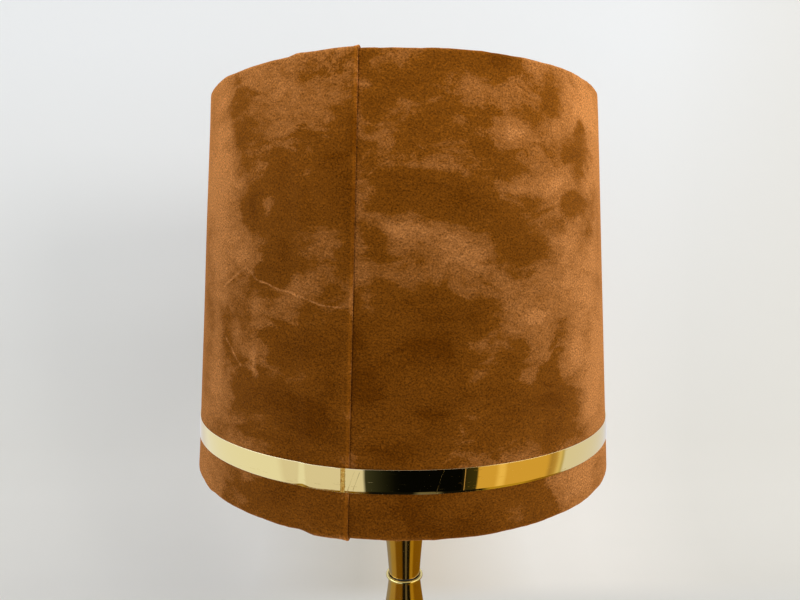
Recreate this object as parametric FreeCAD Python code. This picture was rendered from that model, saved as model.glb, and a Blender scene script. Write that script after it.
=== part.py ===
"""Brass table lamp with a candle bulb and a suede drum shade.

Millimetres, +Z up, origin at the middle of the felt the lamp stands on. The front of the lamp is -Y.
The turned stem is an hourglass: a long trumpet stands on a weighted foot, a ring marks its waist, and a
second trumpet opens upwards to carry an E27 lampholder. The shade is a card cone covered in suede,
carried by a wire frame whose fitter ring is clamped on the lampholder between two threaded rings.
"""
import FreeCAD
import Part
import math
import os

# General values
FULL_TURN = 360.0
HALF = 0.5
OVERRUN = 1.0               # how far a cutting tool runs past the piece it cuts
SLIP = 0.3                  # clearance between pieces that slide past each other
SNUG = 0.1                  # clearance between pieces that are glued or pushed together

# Felt, foot and weight
FELT_THICK = 2.0
FELT_INSET = 3.0            # felt edge to foot edge
FOOT_R = 88.0
FOOT_H = 16.0
FOOT_WALL = 4.0
FOOT_EDGE_R = 4.5
FOOT_SOLE_R = 2.0
FOOT_LEDGE_THICK = 4.0
FOOT_LEDGE_WIDTH = 14.0
FOOT_SPIGOT_H = 2.0
WEIGHT_RECESS_R = 17.0      # room for the nut under the weight
NUT_ROOM = 0.9              # room under the nut
WEIGHT_HUB_R = 14.0
WEIGHT_HUB_H = 10.0
WEIGHT_EDGE = 1.5

# Threaded tube and its fasteners
TUBE_R = 5.0
TUBE_BORE_R = 3.5
TUBE_TAIL = 0.6             # tube end above the felt
TUBE_SLOT_W = 5.0           # slot in the tube's back where the cord goes in
TUBE_SLOT_H = 14.0
TUBE_SLOT_FROM_HUB = 6.0
NUT_FLATS = 17.0
NUT_H = 4.6
NUT_SIDES = 6
WASHER_R = 12.0
WASHER_THICK = 1.5
LOCKNUT_H = 4.0
LOCKNUT_R = 9.0
LOCKNUT_EDGE = 0.8

# Cord inlet in the back of the foot
INLET_BORE_R = 3.1
INLET_WALL = 1.1
INLET_BRIM = 1.6            # flange beyond the barrel
INLET_FLANGE_THICK = 1.6
INLET_EDGE = 0.5
INLET_LIP = 0.5             # lip beyond the barrel
INLET_LIP_LENGTH = 1.8

# Hourglass stem
SHEET = 1.0                 # spun brass
WAIST_Z = 200.0
WAIST_R = 12.3
# Slopes of a trumpet at the waist, at the join of its two arcs and at its end, as shares of the slope
# of the straight line between its ends
LOWER_SLOPE_SHARES = (0.28, 0.98, 2.56)
UPPER_H = 98.0
UPPER_END_R = 25.3
UPPER_SLOPE_SHARES = (0.46, 1.05, 1.575)
RING_BEAD_R = 1.4
RING_CENTRE_SHARE = 0.57    # middle of the bead off the stem, as a share of the bead's radius
RING_WEB = 1.6
RING_SPIGOT_H = 4.0
CAP_THICK = 1.2
CAP_OVERHANG = 1.0
CAP_LIP_H = 3.0
CAP_LIP_WALL = 1.2

# Lampholder, E27
HOLDER_WALL = 2.0
HOLDER_SPACE = 2.0          # between the collar and the outer wall of the skirt
HOLDER_STEP = 1.2           # cap and skirt flange beyond the thread
HOLDER_SHOULDER_H = 12.0
HOLDER_LEDGE_H = 4.0        # ledge for the core above the shoulder
HOLDER_BOSS_WALL = 2.9
HOLDER_FOOT_STEP = 3.0      # foot of the cap beyond the boss
HOLDER_BOSS_H = 9.0
HOLDER_FLOOR = 2.2
HOLDER_SKIRT_H = 32.0
HOLDER_COLLAR_H = 9.0       # inner collar of the skirt, hanging from its rim
HOLDER_COLLAR_WALL = 1.4
HOLDER_ROUND = 3.0
HOLDER_RIM_ROUND = 0.6
CORE_BELOW_SKIRT = 5.0
CORE_H = 11.0
CORE_LEDGE = 1.5            # width of the ledge in the cap that the core stands on
CORE_WELL_R = 9.0
CORE_WELL_DEPTH = 3.0
SLEEVE_WALL = 0.5
SLEEVE_SETBACK = 3.0        # sleeve below the mouth of the skirt
CONTACT_W = 6.0
CONTACT_THICK = 0.5
CONTACT_RISE = 3.4
CONTACT_FOOT = 5.0
SCREW_R = 1.5
SCREW_HEAD_R = 2.7
SCREW_HEAD_H = 1.8
SCREW_SLOT = 0.6
SCREW_LENGTH = 7.0
SCREW_EDGE = 0.8            # screw head to the ledge
SCREW_COUNT = 3

# Threaded rings that clamp the shade
CLAMP_WALL = 4.5
CLAMP_BRIM = 1.3            # flange beyond the grip
CLAMP_FLANGE = 2.6
CLAMP_GRIP_H = 4.0
CLAMP_EDGE = 0.7
CLAMP_GROOVE_R = 0.9
CLAMP_GROOVES = 20
CLAMP_FROM_SKIRT = 6.0      # lower face of the lower ring above the skirt's lower end

# Candle bulb
BULB_R = 17.5
BULB_TIP_R = 3.0
BULB_CEMENT = 0.5           # cement between the neck and the cap
BULB_GLASS = 0.9
BULB_BELLY_RISE = 26.0      # belly above the neck
BULB_NECK_H = 6.0           # straight neck held inside the cap
CAP_R = 13.1
CAP_WALL = 0.5
CAP_SHELL_H = 21.0
CAP_CONE_H = 2.6
CAP_CONE_STEP = 1.9         # how far the cone draws in
INSULATOR_STEP = 3.6        # how far the insulator draws in
INSULATOR_H = 2.4
BUTTON_R = 4.8
BUTTON_H = 1.3
MOUNT_R = 2.6
MOUNT_H = 30.0
MOUNT_FLARE_H = 6.0
MOUNT_WALL = 0.8
LEAD_R = 0.4
LEAD_H = 16.0
LEAD_SPREAD = 6.5
FILAMENT_R = 0.45
FILAMENT_BOW = 3.0

# Shade
SHADE_BOTTOM_R = 150.0
SHADE_TAPER = 14.4          # top rim narrower than the bottom rim, in radius
SHADE_H = 254.0
SUEDE = 1.0
CARD = 0.6
WIRE_R = 1.8
WRAP_TURN = 280.0           # degrees that the suede is rolled round each wire
SEAM_FOLD_TURN = 10.5       # degrees from the front to the folded edge of the seam, clockwise from above
SEAM_WIDTH = 13.0           # degrees of double suede beside the fold
SEAM_THICK = 0.6
SEAM_WRAP_TURN = 180.0
BAND_FROM_EDGE = 25.4
BAND_H = 12.8
BAND_THICK = 0.4
BAND_LAP_TURN = 12.0        # degrees from the front to the joint of the band
BAND_LAP_WIDTH = 1.6

# Wire frame
FITTER_RISE = 29.8          # ring above the shade's lower edge
FITTER_WIDTH = 8.7
FITTER_SLACK = 0.9          # ring round the lampholder's thread
FITTER_THICK = 2.0
ARM_R = 1.6
ARM_COUNT = 3
ARM_WELD = 1.6              # length of arm welded into the fitter ring
ARM_LEVEL_RUN = 8.0
ARM_BEND_R = 12.0

# Places worked out from the sizes
RIGHT = FreeCAD.Vector(1, 0, 0)
BACK = FreeCAD.Vector(0, 1, 0)
UP = FreeCAD.Vector(0, 0, 1)
CENTRE = FreeCAD.Vector(0, 0, 0)
QUARTER_TURN = 90.0
foot_top = FELT_THICK + FOOT_H
ledge_z = foot_top - FOOT_LEDGE_THICK
foot_inner_r = FOOT_R - FOOT_WALL
lower_end_r = FOOT_R - FOOT_EDGE_R
recess_depth = NUT_ROOM + NUT_H + WASHER_THICK
inlet_z = (FELT_THICK + FOOT_SOLE_R + foot_top - FOOT_EDGE_R) * HALF     # middle of the flat of the rim
inlet_barrel_r = INLET_BORE_R + INLET_WALL
inlet_flange_r = inlet_barrel_r + INLET_BRIM
inlet_lip_r = inlet_barrel_r + INLET_LIP
cord_slot_w = (inlet_lip_r + SLIP) * 2
ring_major_r = WAIST_R + SNUG + RING_BEAD_R * RING_CENTRE_SHARE
stem_top = WAIST_Z + UPPER_H
cap_top = stem_top + CAP_THICK
holder_z = cap_top + LOCKNUT_H
core_z = holder_z + HOLDER_SHOULDER_H + HOLDER_LEDGE_H
skirt_z = core_z + CORE_BELOW_SKIRT
skirt_top = skirt_z + HOLDER_SKIRT_H
core_top = core_z + CORE_H
sleeve_r = CAP_R + SLIP + SLEEVE_WALL
sleeve_h = skirt_top - SLEEVE_SETBACK - core_top
collar_r = sleeve_r + SNUG
holder_inner_r = collar_r + HOLDER_COLLAR_WALL + HOLDER_SPACE
holder_r = holder_inner_r + HOLDER_WALL
holder_cap_r = holder_r + HOLDER_STEP
holder_boss_r = TUBE_R + SNUG + HOLDER_BOSS_WALL
holder_foot_r = holder_boss_r + HOLDER_FOOT_STEP
screw_offset = holder_inner_r - CORE_LEDGE - SCREW_EDGE - SCREW_HEAD_R
clamp_bore_r = holder_r + SLIP
clamp_grip_r = clamp_bore_r + CLAMP_WALL
clamp_r = clamp_grip_r + CLAMP_BRIM
fitter_bore_r = holder_r + FITTER_SLACK
fitter_r = fitter_bore_r + FITTER_WIDTH
clamp_z = skirt_z + CLAMP_FROM_SKIRT
fitter_z = clamp_z + CLAMP_GRIP_H + CLAMP_FLANGE
lock_z = fitter_z + FITTER_THICK
bulb_z = core_top + CONTACT_RISE + SLIP
cap_shell_z = bulb_z + BUTTON_H + INSULATOR_H
neck_z = cap_shell_z + CAP_CONE_H + CAP_SHELL_H
belly_z = neck_z + BULB_BELLY_RISE
insulator_top_r = CAP_R - CAP_CONE_STEP
insulator_r = insulator_top_r - INSULATOR_STEP
neck_r = CAP_R - CAP_WALL - BULB_CEMENT
bulb_side_r = (BULB_BELLY_RISE ** 2 / (BULB_R - neck_r) + BULB_R - neck_r) * HALF
shade_z = fitter_z - FITTER_RISE
shade_top_r = SHADE_BOTTOM_R - SHADE_TAPER
lean = math.atan2(SHADE_TAPER, SHADE_H)
slant = SHADE_H / math.cos(lean)
roll_r = WIRE_R + SLIP + SUEDE      # outside of the suede rolled round a wire
seam_turn = -QUARTER_TURN - SEAM_FOLD_TURN - SEAM_WIDTH


# Drawing helpers

def at(radius, height):
    """Point of a turned profile."""
    return FreeCAD.Vector(radius, 0, height)


def line(start, end):
    return Part.LineSegment(start, end).toShape()


def arc(start, middle, end):
    return Part.Arc(start, middle, end).toShape()


def face_of(edges):
    return Part.Face(Part.Wire(edges))


def rounded_edges(corners, closed):
    """Lines and arcs through corners given as (radius, height) or (radius, height, corner radius)."""
    count = len(corners)
    points = [at(*corner[:2]) for corner in corners]
    joins = []
    for index, corner in enumerate(corners):
        here = points[index]
        if len(corner) == 2:
            joins.append((here, None, here))
            continue
        back = (points[index - 1] - here).normalize()
        ahead = (points[(index + 1) % count] - here).normalize()
        half_angle = back.getAngle(ahead) * HALF
        reach = corner[2] / math.tan(half_angle)
        inset = corner[2] / math.sin(half_angle) - corner[2]
        middle = here + (back + ahead).normalize() * inset
        joins.append((here + back * reach, middle, here + ahead * reach))
    edges = []
    for index, (start, middle, end) in enumerate(joins):
        if middle is not None:
            edges.append(arc(start, middle, end))
        if closed or index + 1 < count:
            edges.append(line(end, joins[(index + 1) % count][0]))
    return edges


def rounded_face(corners):
    return face_of(rounded_edges(corners, True))


def turned(face, sweep=FULL_TURN, start=0):
    """Solid of revolution about Z, from the angle start, through sweep degrees."""
    solid = face.revolve(CENTRE, UP, sweep)
    solid.rotate(CENTRE, UP, start)
    return solid


def turned_from(corners, sweep=FULL_TURN, start=0):
    return turned(rounded_face(corners), sweep, start)


def tube(outer_r, inner_r, low, high):
    """Plain upright ring."""
    return turned_from([(inner_r, low), (outer_r, low), (outer_r, high), (inner_r, high)])


def rod(radius, low, high):
    return Part.makeCylinder(radius, high - low, FreeCAD.Vector(0, 0, low), UP)


def copies_around(shape, count, start=0):
    """The shape turned about Z into count equal places."""
    copies = []
    for index in range(count):
        copy = shape.copy()
        copy.rotate(CENTRE, UP, start + index * FULL_TURN / count)
        copies.append(copy)
    return copies


def save(name, *shapes):
    """Writes one named sub-part and reports its solids."""
    solids = [solid for shape in shapes for solid in shape.Solids]
    whole = solids[0] if len(solids) == 1 else Part.makeCompound(solids)
    sound = whole.isValid() and all(solid.isClosed() for solid in solids)
    whole.exportStep(os.path.join("parts", name + ".step"))
    print(f"{name}: {len(solids)} solid(s), {whole.Volume:.0f} mm3, {'valid' if sound else 'NOT VALID'}")


class Flare:
    """Trumpet wall: two arcs that meet smoothly and curve outwards from the waist to the wide end."""

    def __init__(self, waist_z, end_r, end_z, slope_shares):
        self.way = math.copysign(1, end_z - waist_z)
        self.ends = (waist_z, end_z)
        rise = abs(end_z - waist_z)
        spread = end_r - WAIST_R
        self.turns = [math.atan2(spread, rise) * share for share in slope_shares]
        sines = [math.sin(turn) for turn in self.turns]
        cosines = [math.cos(turn) for turn in self.turns]
        rises = (sines[1] - sines[0], sines[2] - sines[1])
        spreads = (cosines[0] - cosines[1], cosines[1] - cosines[2])
        whole = rises[0] * spreads[1] - rises[1] * spreads[0]
        self.radii = (
            (rise * spreads[1] - spread * rises[1]) / whole,
            (spread * rises[0] - rise * spreads[0]) / whole,
        )
        first = at(WAIST_R, waist_z) + self.normal(self.turns[0]) * self.radii[0]
        second = first + self.normal(self.turns[1]) * (self.radii[1] - self.radii[0])
        self.centres = (first, second)

    def normal(self, turn):
        """Direction from the wall, where it slopes by turn, to the centre of its arc."""
        return at(math.cos(turn), -self.way * math.sin(turn))

    def point(self, index, turn, inset):
        return self.centres[index] - self.normal(turn) * (self.radii[index] + inset)

    def turn_at(self, index, height, inset):
        return math.asin(self.way * (height - self.centres[index].z) / (self.radii[index] + inset))

    def reach(self, height, inset):
        """Radius of the wall at a height, inset from the outer face."""
        turn = self.turn_at(0, height, inset)
        if turn <= self.turns[1]:
            return self.point(0, turn, inset).x
        return self.point(1, self.turn_at(1, height, inset), inset).x

    def arcs(self, inset):
        """Points of both arcs from the waist to the wide end."""
        turns = (self.turn_at(0, self.ends[0], inset), self.turns[1], self.turn_at(1, self.ends[1], inset))
        points = []
        for index in range(2):
            middle = (turns[index] + turns[index + 1]) * HALF
            points += [self.point(index, turns[index], inset), self.point(index, middle, inset)]
        points.append(self.point(1, turns[2], inset))
        return points

    def shell(self):
        outer = self.arcs(0)
        inner = list(reversed(self.arcs(SHEET)))
        edges = [arc(*outer[0:3]), arc(*outer[2:5]), line(outer[4], inner[0])]
        edges += [arc(*inner[0:3]), arc(*inner[2:5]), line(inner[4], outer[0])]
        return turned(face_of(edges))


# Foot

lower_flare = Flare(WAIST_Z - RING_WEB * HALF, lower_end_r, foot_top, LOWER_SLOPE_SHARES)
upper_flare = Flare(WAIST_Z + RING_WEB * HALF, UPPER_END_R, stem_top, UPPER_SLOPE_SHARES)


def base_felt():
    return rod(FOOT_R - FELT_INSET, 0, FELT_THICK)


def foot_rim():
    """Turned brass ring with a ledge for the weight, a spigot for the trumpet and the cord hole."""
    spigot_top = foot_top + FOOT_SPIGOT_H
    spigot_r = lower_flare.reach(spigot_top, SHEET) - SNUG
    ledge_r = foot_inner_r - FOOT_LEDGE_WIDTH
    ring = turned_from([
        (foot_inner_r, FELT_THICK),
        (FOOT_R, FELT_THICK, FOOT_SOLE_R),
        (FOOT_R, foot_top, FOOT_EDGE_R),
        (spigot_r, foot_top),
        (spigot_r, spigot_top),
        (ledge_r, spigot_top),
        (ledge_r, ledge_z),
        (foot_inner_r, ledge_z),
    ])
    hole = Part.makeCylinder(inlet_barrel_r + SNUG, FOOT_WALL + OVERRUN * 2,
                             FreeCAD.Vector(0, foot_inner_r - OVERRUN, inlet_z), BACK)
    return ring.cut(hole)


def base_weight():
    """Cast disc with a hub for the tube, a recess for the nut and a slot for the cord."""
    edge_r = foot_inner_r - SLIP
    recess_z = FELT_THICK + recess_depth
    disc = turned_from([
        (TUBE_R + SLIP, recess_z),
        (WEIGHT_RECESS_R, recess_z),
        (WEIGHT_RECESS_R, FELT_THICK),
        (edge_r, FELT_THICK, WEIGHT_EDGE),
        (edge_r, ledge_z, WEIGHT_EDGE),
        (WEIGHT_HUB_R, ledge_z, WEIGHT_EDGE),
        (WEIGHT_HUB_R, ledge_z + WEIGHT_HUB_H, WEIGHT_EDGE),
        (TUBE_R + SLIP, ledge_z + WEIGHT_HUB_H),
    ])
    slot_h = ledge_z - FELT_THICK + OVERRUN * 2
    slot_start = FreeCAD.Vector(-cord_slot_w * HALF, WEIGHT_RECESS_R + OVERRUN, FELT_THICK - OVERRUN)
    return disc.cut(Part.makeBox(cord_slot_w, edge_r, slot_h, slot_start))


def cord_grommet():
    """Plastic bush snapped into the back of the foot; its bore takes the cord."""
    lip_y = foot_inner_r - SLIP
    corners = [
        (INLET_BORE_R, lip_y - INLET_LIP_LENGTH),
        (inlet_barrel_r, lip_y - INLET_LIP_LENGTH),
        (inlet_lip_r, lip_y),
        (inlet_barrel_r, lip_y),
        (inlet_barrel_r, FOOT_R),
        (inlet_flange_r, FOOT_R),
        (inlet_flange_r, FOOT_R + INLET_FLANGE_THICK, INLET_EDGE),
        (INLET_BORE_R, FOOT_R + INLET_FLANGE_THICK),
    ]
    bush = turned_from(corners)
    bush.rotate(CENTRE, RIGHT, -QUARTER_TURN)
    bush.translate(UP * inlet_z)
    return bush


# Tube and fasteners

def threaded_tube():
    """Long tube that draws the whole stem together, slotted above the weight for the cord."""
    stem = tube(TUBE_R, TUBE_BORE_R, FELT_THICK + TUBE_TAIL, holder_z + HOLDER_BOSS_H)
    slot_z = ledge_z + WEIGHT_HUB_H + TUBE_SLOT_FROM_HUB
    slot_start = FreeCAD.Vector(-TUBE_SLOT_W * HALF, 0, slot_z)
    return stem.cut(Part.makeBox(TUBE_SLOT_W, TUBE_R + OVERRUN, TUBE_SLOT_H, slot_start))


def hex_nut(low, height):
    corner_r = NUT_FLATS * HALF / math.cos(math.pi / NUT_SIDES)
    points = [FreeCAD.Vector(corner_r * math.cos(turn), corner_r * math.sin(turn), low)
              for turn in (2 * math.pi * index / NUT_SIDES for index in range(NUT_SIDES))]
    block = Part.Face(Part.makePolygon(points + points[:1])).extrude(UP * height)
    return block.cut(rod(TUBE_R + SNUG, low - OVERRUN, low + height + OVERRUN))


def bottom_washer():
    top = FELT_THICK + recess_depth
    return tube(WASHER_R, TUBE_R + SLIP, top - WASHER_THICK, top)


def bottom_nut():
    return hex_nut(FELT_THICK + recess_depth - WASHER_THICK - NUT_H, NUT_H)


def locknut():
    """Round brass nut between the stem cap and the lampholder."""
    return turned_from([
        (TUBE_R + SNUG, cap_top),
        (LOCKNUT_R, cap_top, LOCKNUT_EDGE),
        (LOCKNUT_R, holder_z, LOCKNUT_EDGE),
        (TUBE_R + SNUG, holder_z),
    ])


# Stem

def waist_ring():
    """Bead outside the waist, with a web and two spigots that centre both trumpets on the tube."""
    flat_r = WAIST_R + SNUG
    half_web = RING_WEB * HALF
    bead_rise = math.sqrt(RING_BEAD_R ** 2 - (ring_major_r - flat_r) ** 2)
    spigot_r = WAIST_R - SHEET - SNUG
    bore_r = TUBE_R + SLIP
    low, high = WAIST_Z - half_web, WAIST_Z + half_web
    points = [
        at(bore_r, low - RING_SPIGOT_H),
        at(spigot_r, low - RING_SPIGOT_H),
        at(spigot_r, low),
        at(flat_r, low),
        at(flat_r, WAIST_Z - bead_rise),
    ]
    mirrored = [at(point.x, 2 * WAIST_Z - point.z) for point in reversed(points)]
    bead = arc(points[-1], at(ring_major_r + RING_BEAD_R, WAIST_Z), mirrored[0])
    edges = [line(a, b) for a, b in zip(points, points[1:])]
    edges.append(bead)
    edges += [line(a, b) for a, b in zip(mirrored, mirrored[1:])]
    edges.append(line(mirrored[-1], points[0]))
    return turned(face_of(edges))


def stem_cap():
    """Pressed plate that closes the upper trumpet, with a lip inside its mouth."""
    lip_r = upper_flare.reach(stem_top - CAP_LIP_H, SHEET) - SNUG
    edge_r = UPPER_END_R + CAP_OVERHANG
    return turned_from([
        (TUBE_R + SLIP, stem_top),
        (lip_r - CAP_LIP_WALL, stem_top),
        (lip_r - CAP_LIP_WALL, stem_top - CAP_LIP_H),
        (lip_r, stem_top - CAP_LIP_H),
        (lip_r, stem_top),
        (edge_r, stem_top, CAP_THICK * HALF * HALF),
        (edge_r, cap_top, CAP_THICK * HALF),
        (TUBE_R + SLIP, cap_top),
    ])


# Lampholder

def holder_cap():
    """Domed cap that screws on the tube, with a ledge inside for the porcelain core."""
    shoulder_z = holder_z + HOLDER_SHOULDER_H
    ledge_r = holder_inner_r - CORE_LEDGE
    return turned_from([
        (TUBE_R + SNUG, holder_z),
        (holder_foot_r, holder_z, HOLDER_RIM_ROUND),
        (holder_cap_r, shoulder_z, HOLDER_ROUND),
        (holder_cap_r, skirt_z, HOLDER_RIM_ROUND),
        (holder_inner_r, skirt_z),
        (holder_inner_r, core_z),
        (ledge_r, core_z),
        (ledge_r, shoulder_z, HOLDER_ROUND * HALF),
        (holder_boss_r + HOLDER_WALL, holder_z + HOLDER_FLOOR),
        (holder_boss_r, holder_z + HOLDER_FLOOR),
        (holder_boss_r, holder_z + HOLDER_BOSS_H),
        (TUBE_R + SNUG, holder_z + HOLDER_BOSS_H),
    ])


def holder_skirt():
    """Double-walled skirt: the outer wall is threaded for the clamp rings, the collar guides the bulb."""
    return turned_from([
        (holder_inner_r, skirt_z),
        (holder_cap_r, skirt_z, HOLDER_RIM_ROUND),
        (holder_cap_r, skirt_z + HOLDER_WALL, HOLDER_RIM_ROUND),
        (holder_r, skirt_z + HOLDER_WALL),
        (holder_r, skirt_top, HOLDER_RIM_ROUND * 2),
        (collar_r, skirt_top, HOLDER_RIM_ROUND),
        (collar_r, skirt_top - HOLDER_COLLAR_H),
        (collar_r + HOLDER_COLLAR_WALL, skirt_top - HOLDER_COLLAR_H),
        (collar_r + HOLDER_COLLAR_WALL, skirt_top - HOLDER_WALL),
        (holder_inner_r, skirt_top - HOLDER_WALL),
    ])


def holder_core():
    """Porcelain insert with a well for the centre contact and blind holes for the terminal screws."""
    core_r = holder_inner_r - SNUG
    body = turned_from([
        (0, core_z),
        (core_r, core_z, HOLDER_RIM_ROUND),
        (core_r, core_top, HOLDER_RIM_ROUND),
        (CORE_WELL_R, core_top),
        (CORE_WELL_R, core_top - CORE_WELL_DEPTH),
        (0, core_top - CORE_WELL_DEPTH),
    ])
    hole = Part.makeCylinder(SCREW_R + SNUG, SCREW_LENGTH + SNUG + OVERRUN,
                             FreeCAD.Vector(screw_offset, 0, core_z - OVERRUN), UP)
    return body.cut(copies_around(hole, SCREW_COUNT))


def thread_sleeve():
    """Thin brass sleeve that the bulb's cap screws into."""
    return tube(sleeve_r, sleeve_r - SLEEVE_WALL, core_top, core_top + sleeve_h)


def centre_contact():
    """Springy tongue that rises from the well to meet the bulb."""
    floor = core_top - CORE_WELL_DEPTH
    top = core_top + CONTACT_RISE
    reach = math.sqrt((CORE_WELL_R - SNUG) ** 2 - (CONTACT_W * HALF) ** 2)
    outline = [
        (-reach, floor), (-reach + CONTACT_FOOT, floor), (0, top - CONTACT_THICK),
        (CONTACT_FOOT * HALF, top - CONTACT_THICK), (CONTACT_FOOT * HALF, top),
        (-CONTACT_THICK, top), (-reach + CONTACT_FOOT - CONTACT_THICK, floor + CONTACT_THICK),
        (-reach, floor + CONTACT_THICK),
    ]
    strip = rounded_face(outline).extrude(BACK * CONTACT_W)
    strip.translate(BACK * (-CONTACT_W * HALF))
    return strip


def terminal_screws():
    """Cheese-head screws under the porcelain, slotted."""
    head_z = core_z - SCREW_HEAD_H
    body = Part.makeCylinder(SCREW_R, SCREW_LENGTH + SCREW_HEAD_H * HALF,
                             FreeCAD.Vector(screw_offset, 0, core_z - SCREW_HEAD_H * HALF), UP)
    head = Part.makeCylinder(SCREW_HEAD_R, SCREW_HEAD_H, FreeCAD.Vector(screw_offset, 0, head_z), UP)
    slot = Part.makeBox(SCREW_HEAD_R * 2 + OVERRUN, SCREW_SLOT, SCREW_HEAD_H * HALF,
                        FreeCAD.Vector(screw_offset - SCREW_HEAD_R - OVERRUN * HALF, -SCREW_SLOT * HALF, head_z))
    return copies_around(body.fuse(head).cut(slot).removeSplitter(), SCREW_COUNT)


# Clamp rings

def clamp_ring(flange_up):
    """Threaded ring with a flange against the fitter ring and a grooved grip."""
    height = CLAMP_GRIP_H + CLAMP_FLANGE
    ring = turned_from([
        (clamp_bore_r, 0),
        (clamp_grip_r, 0, CLAMP_EDGE),
        (clamp_grip_r, CLAMP_GRIP_H),
        (clamp_r, CLAMP_GRIP_H, CLAMP_EDGE),
        (clamp_r, height, CLAMP_EDGE),
        (clamp_bore_r, height),
    ])
    groove = Part.makeCylinder(CLAMP_GROOVE_R, CLAMP_GRIP_H + OVERRUN,
                               FreeCAD.Vector(clamp_grip_r + CLAMP_GROOVE_R * HALF, 0, -OVERRUN), UP)
    ring = ring.cut(copies_around(groove, CLAMP_GROOVES))
    if flange_up:
        ring.translate(UP * clamp_z)
    else:
        ring.rotate(CENTRE, BACK, FULL_TURN * HALF)
        ring.translate(UP * (lock_z + height))
    return ring


# Bulb

def candle_outline(inset):
    """Glass outline inset from the outer face: neck, side, belly, side, tip start, tip shoulder, tip."""
    side_r = bulb_side_r - inset
    side_x = BULB_R - bulb_side_r
    tip_z = belly_z + math.sqrt((bulb_side_r - BULB_TIP_R) ** 2 - side_x ** 2)
    tip_turn = math.atan2(tip_z - belly_z, -side_x)
    shoulder_turn = (tip_turn + math.pi * HALF) * HALF
    neck_turn = math.asin(BULB_BELLY_RISE / bulb_side_r)
    tip_r = BULB_TIP_R - inset

    def on_side(turn):
        return at(side_x + side_r * math.cos(turn), belly_z + side_r * math.sin(turn))

    shoulder = at(tip_r * math.cos(shoulder_turn), tip_z + tip_r * math.sin(shoulder_turn))
    return [on_side(-neck_turn), on_side(-neck_turn * HALF), on_side(0), on_side(tip_turn * HALF),
            on_side(tip_turn), shoulder, at(0, tip_z + tip_r)]


def bulb_glass():
    outer, inner = candle_outline(0), candle_outline(BULB_GLASS)
    outer_foot = at(outer[0].x, neck_z - BULB_NECK_H)
    inner_foot = at(inner[0].x, neck_z - BULB_NECK_H)
    edges = [line(outer_foot, outer[0])]
    edges += [arc(*outer[index:index + 3]) for index in (0, 2, 4)]
    edges.append(line(outer[6], inner[6]))
    edges += [arc(*reversed(inner[index:index + 3])) for index in (4, 2, 0)]
    edges += [line(inner[0], inner_foot), line(inner_foot, outer_foot)]
    return turned(face_of(edges))


def bulb_cap():
    """Screw cap shell, closed to a cone at its lower end."""
    cone_top = cap_shell_z + CAP_CONE_H
    return turned_from([
        (insulator_top_r, cap_shell_z),
        (CAP_R, cone_top),
        (CAP_R, neck_z),
        (CAP_R - CAP_WALL, neck_z),
        (CAP_R - CAP_WALL, cone_top + CAP_WALL),
        (insulator_top_r, cap_shell_z + CAP_WALL),
    ])


def bulb_insulator():
    low = bulb_z + BUTTON_H
    return turned_from([
        (0, low),
        (insulator_r, low),
        (insulator_top_r, cap_shell_z),
        (insulator_top_r, cap_shell_z + CAP_WALL),
        (0, cap_shell_z + CAP_WALL),
    ])


def bulb_contact():
    return turned_from([
        (0, bulb_z),
        (BUTTON_R, bulb_z, BUTTON_H * HALF),
        (BUTTON_R, bulb_z + BUTTON_H),
        (0, bulb_z + BUTTON_H),
    ])


def bulb_mount():
    """Glass stem inside the bulb, flared to meet the end of the neck."""
    flare_r = candle_outline(BULB_GLASS)[0].x - SNUG
    low = neck_z - BULB_NECK_H
    return turned_from([
        (flare_r - MOUNT_WALL, low),
        (flare_r, low),
        (MOUNT_R, low + MOUNT_FLARE_H, MOUNT_FLARE_H * HALF),
        (MOUNT_R, low + MOUNT_H, MOUNT_WALL),
        (0, low + MOUNT_H),
        (0, low + MOUNT_FLARE_H),
    ])


def filament_wires():
    """Two lead wires that spread from the glass stem and carry the bowed filament."""
    low = neck_z - BULB_NECK_H + MOUNT_H + SLIP
    top = low + LEAD_H
    leads = []
    for side in (-1, 1):
        foot = FreeCAD.Vector(side * MOUNT_R * HALF, 0, low)
        head = FreeCAD.Vector(side * LEAD_SPREAD, 0, top)
        leads.append(Part.makeCylinder(LEAD_R, (head - foot).Length, foot, head - foot))
    ends = [at(-LEAD_SPREAD, top), at(0, top + FILAMENT_BOW), at(LEAD_SPREAD, top)]
    bow = arc(*ends)
    circle = Part.Wire(Part.makeCircle(FILAMENT_R, ends[0], bow.tangentAt(bow.FirstParameter)))
    filament = Part.Wire(bow).makePipe(Part.Face(circle))
    return leads[0].fuse([leads[1], filament])


# Shade

def shade_point(along, depth):
    """Point of the shade wall: along the slant from the lower edge, depth inwards from the suede face."""
    u = at(-math.sin(lean), math.cos(lean))
    n = at(-math.cos(lean), -math.sin(lean))
    return at(SHADE_BOTTOM_R, shade_z) + u * along + n * depth


def roll_points(along, upwards, radius, wrap):
    """Arc round a wire, from the face of the wall over the rim and inwards."""
    side = 1 if upwards else -1
    turns = [math.radians(wrap * share) for share in (0, HALF, 1)]
    return [shade_point(along + side * radius * math.sin(turn), roll_r - radius * math.cos(turn))
            for turn in turns]


def wrapped_wall(inner_r, outer_r, wrap):
    """Section of a wall layer between two radii about the wires, rolled over both rims."""
    low, high = roll_r, slant - roll_r
    outer_low = roll_points(low, False, outer_r, wrap)
    outer_high = roll_points(high, True, outer_r, wrap)
    inner_low = roll_points(low, False, inner_r, wrap)
    inner_high = roll_points(high, True, inner_r, wrap)
    edges = [
        line(outer_low[0], outer_high[0]),
        arc(*outer_high),
        line(outer_high[2], inner_high[2]),
        arc(*reversed(inner_high)),
        line(inner_high[0], inner_low[0]),
        arc(*inner_low),
        line(inner_low[2], outer_low[2]),
        arc(*reversed(outer_low)),
    ]
    return face_of(edges)


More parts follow.
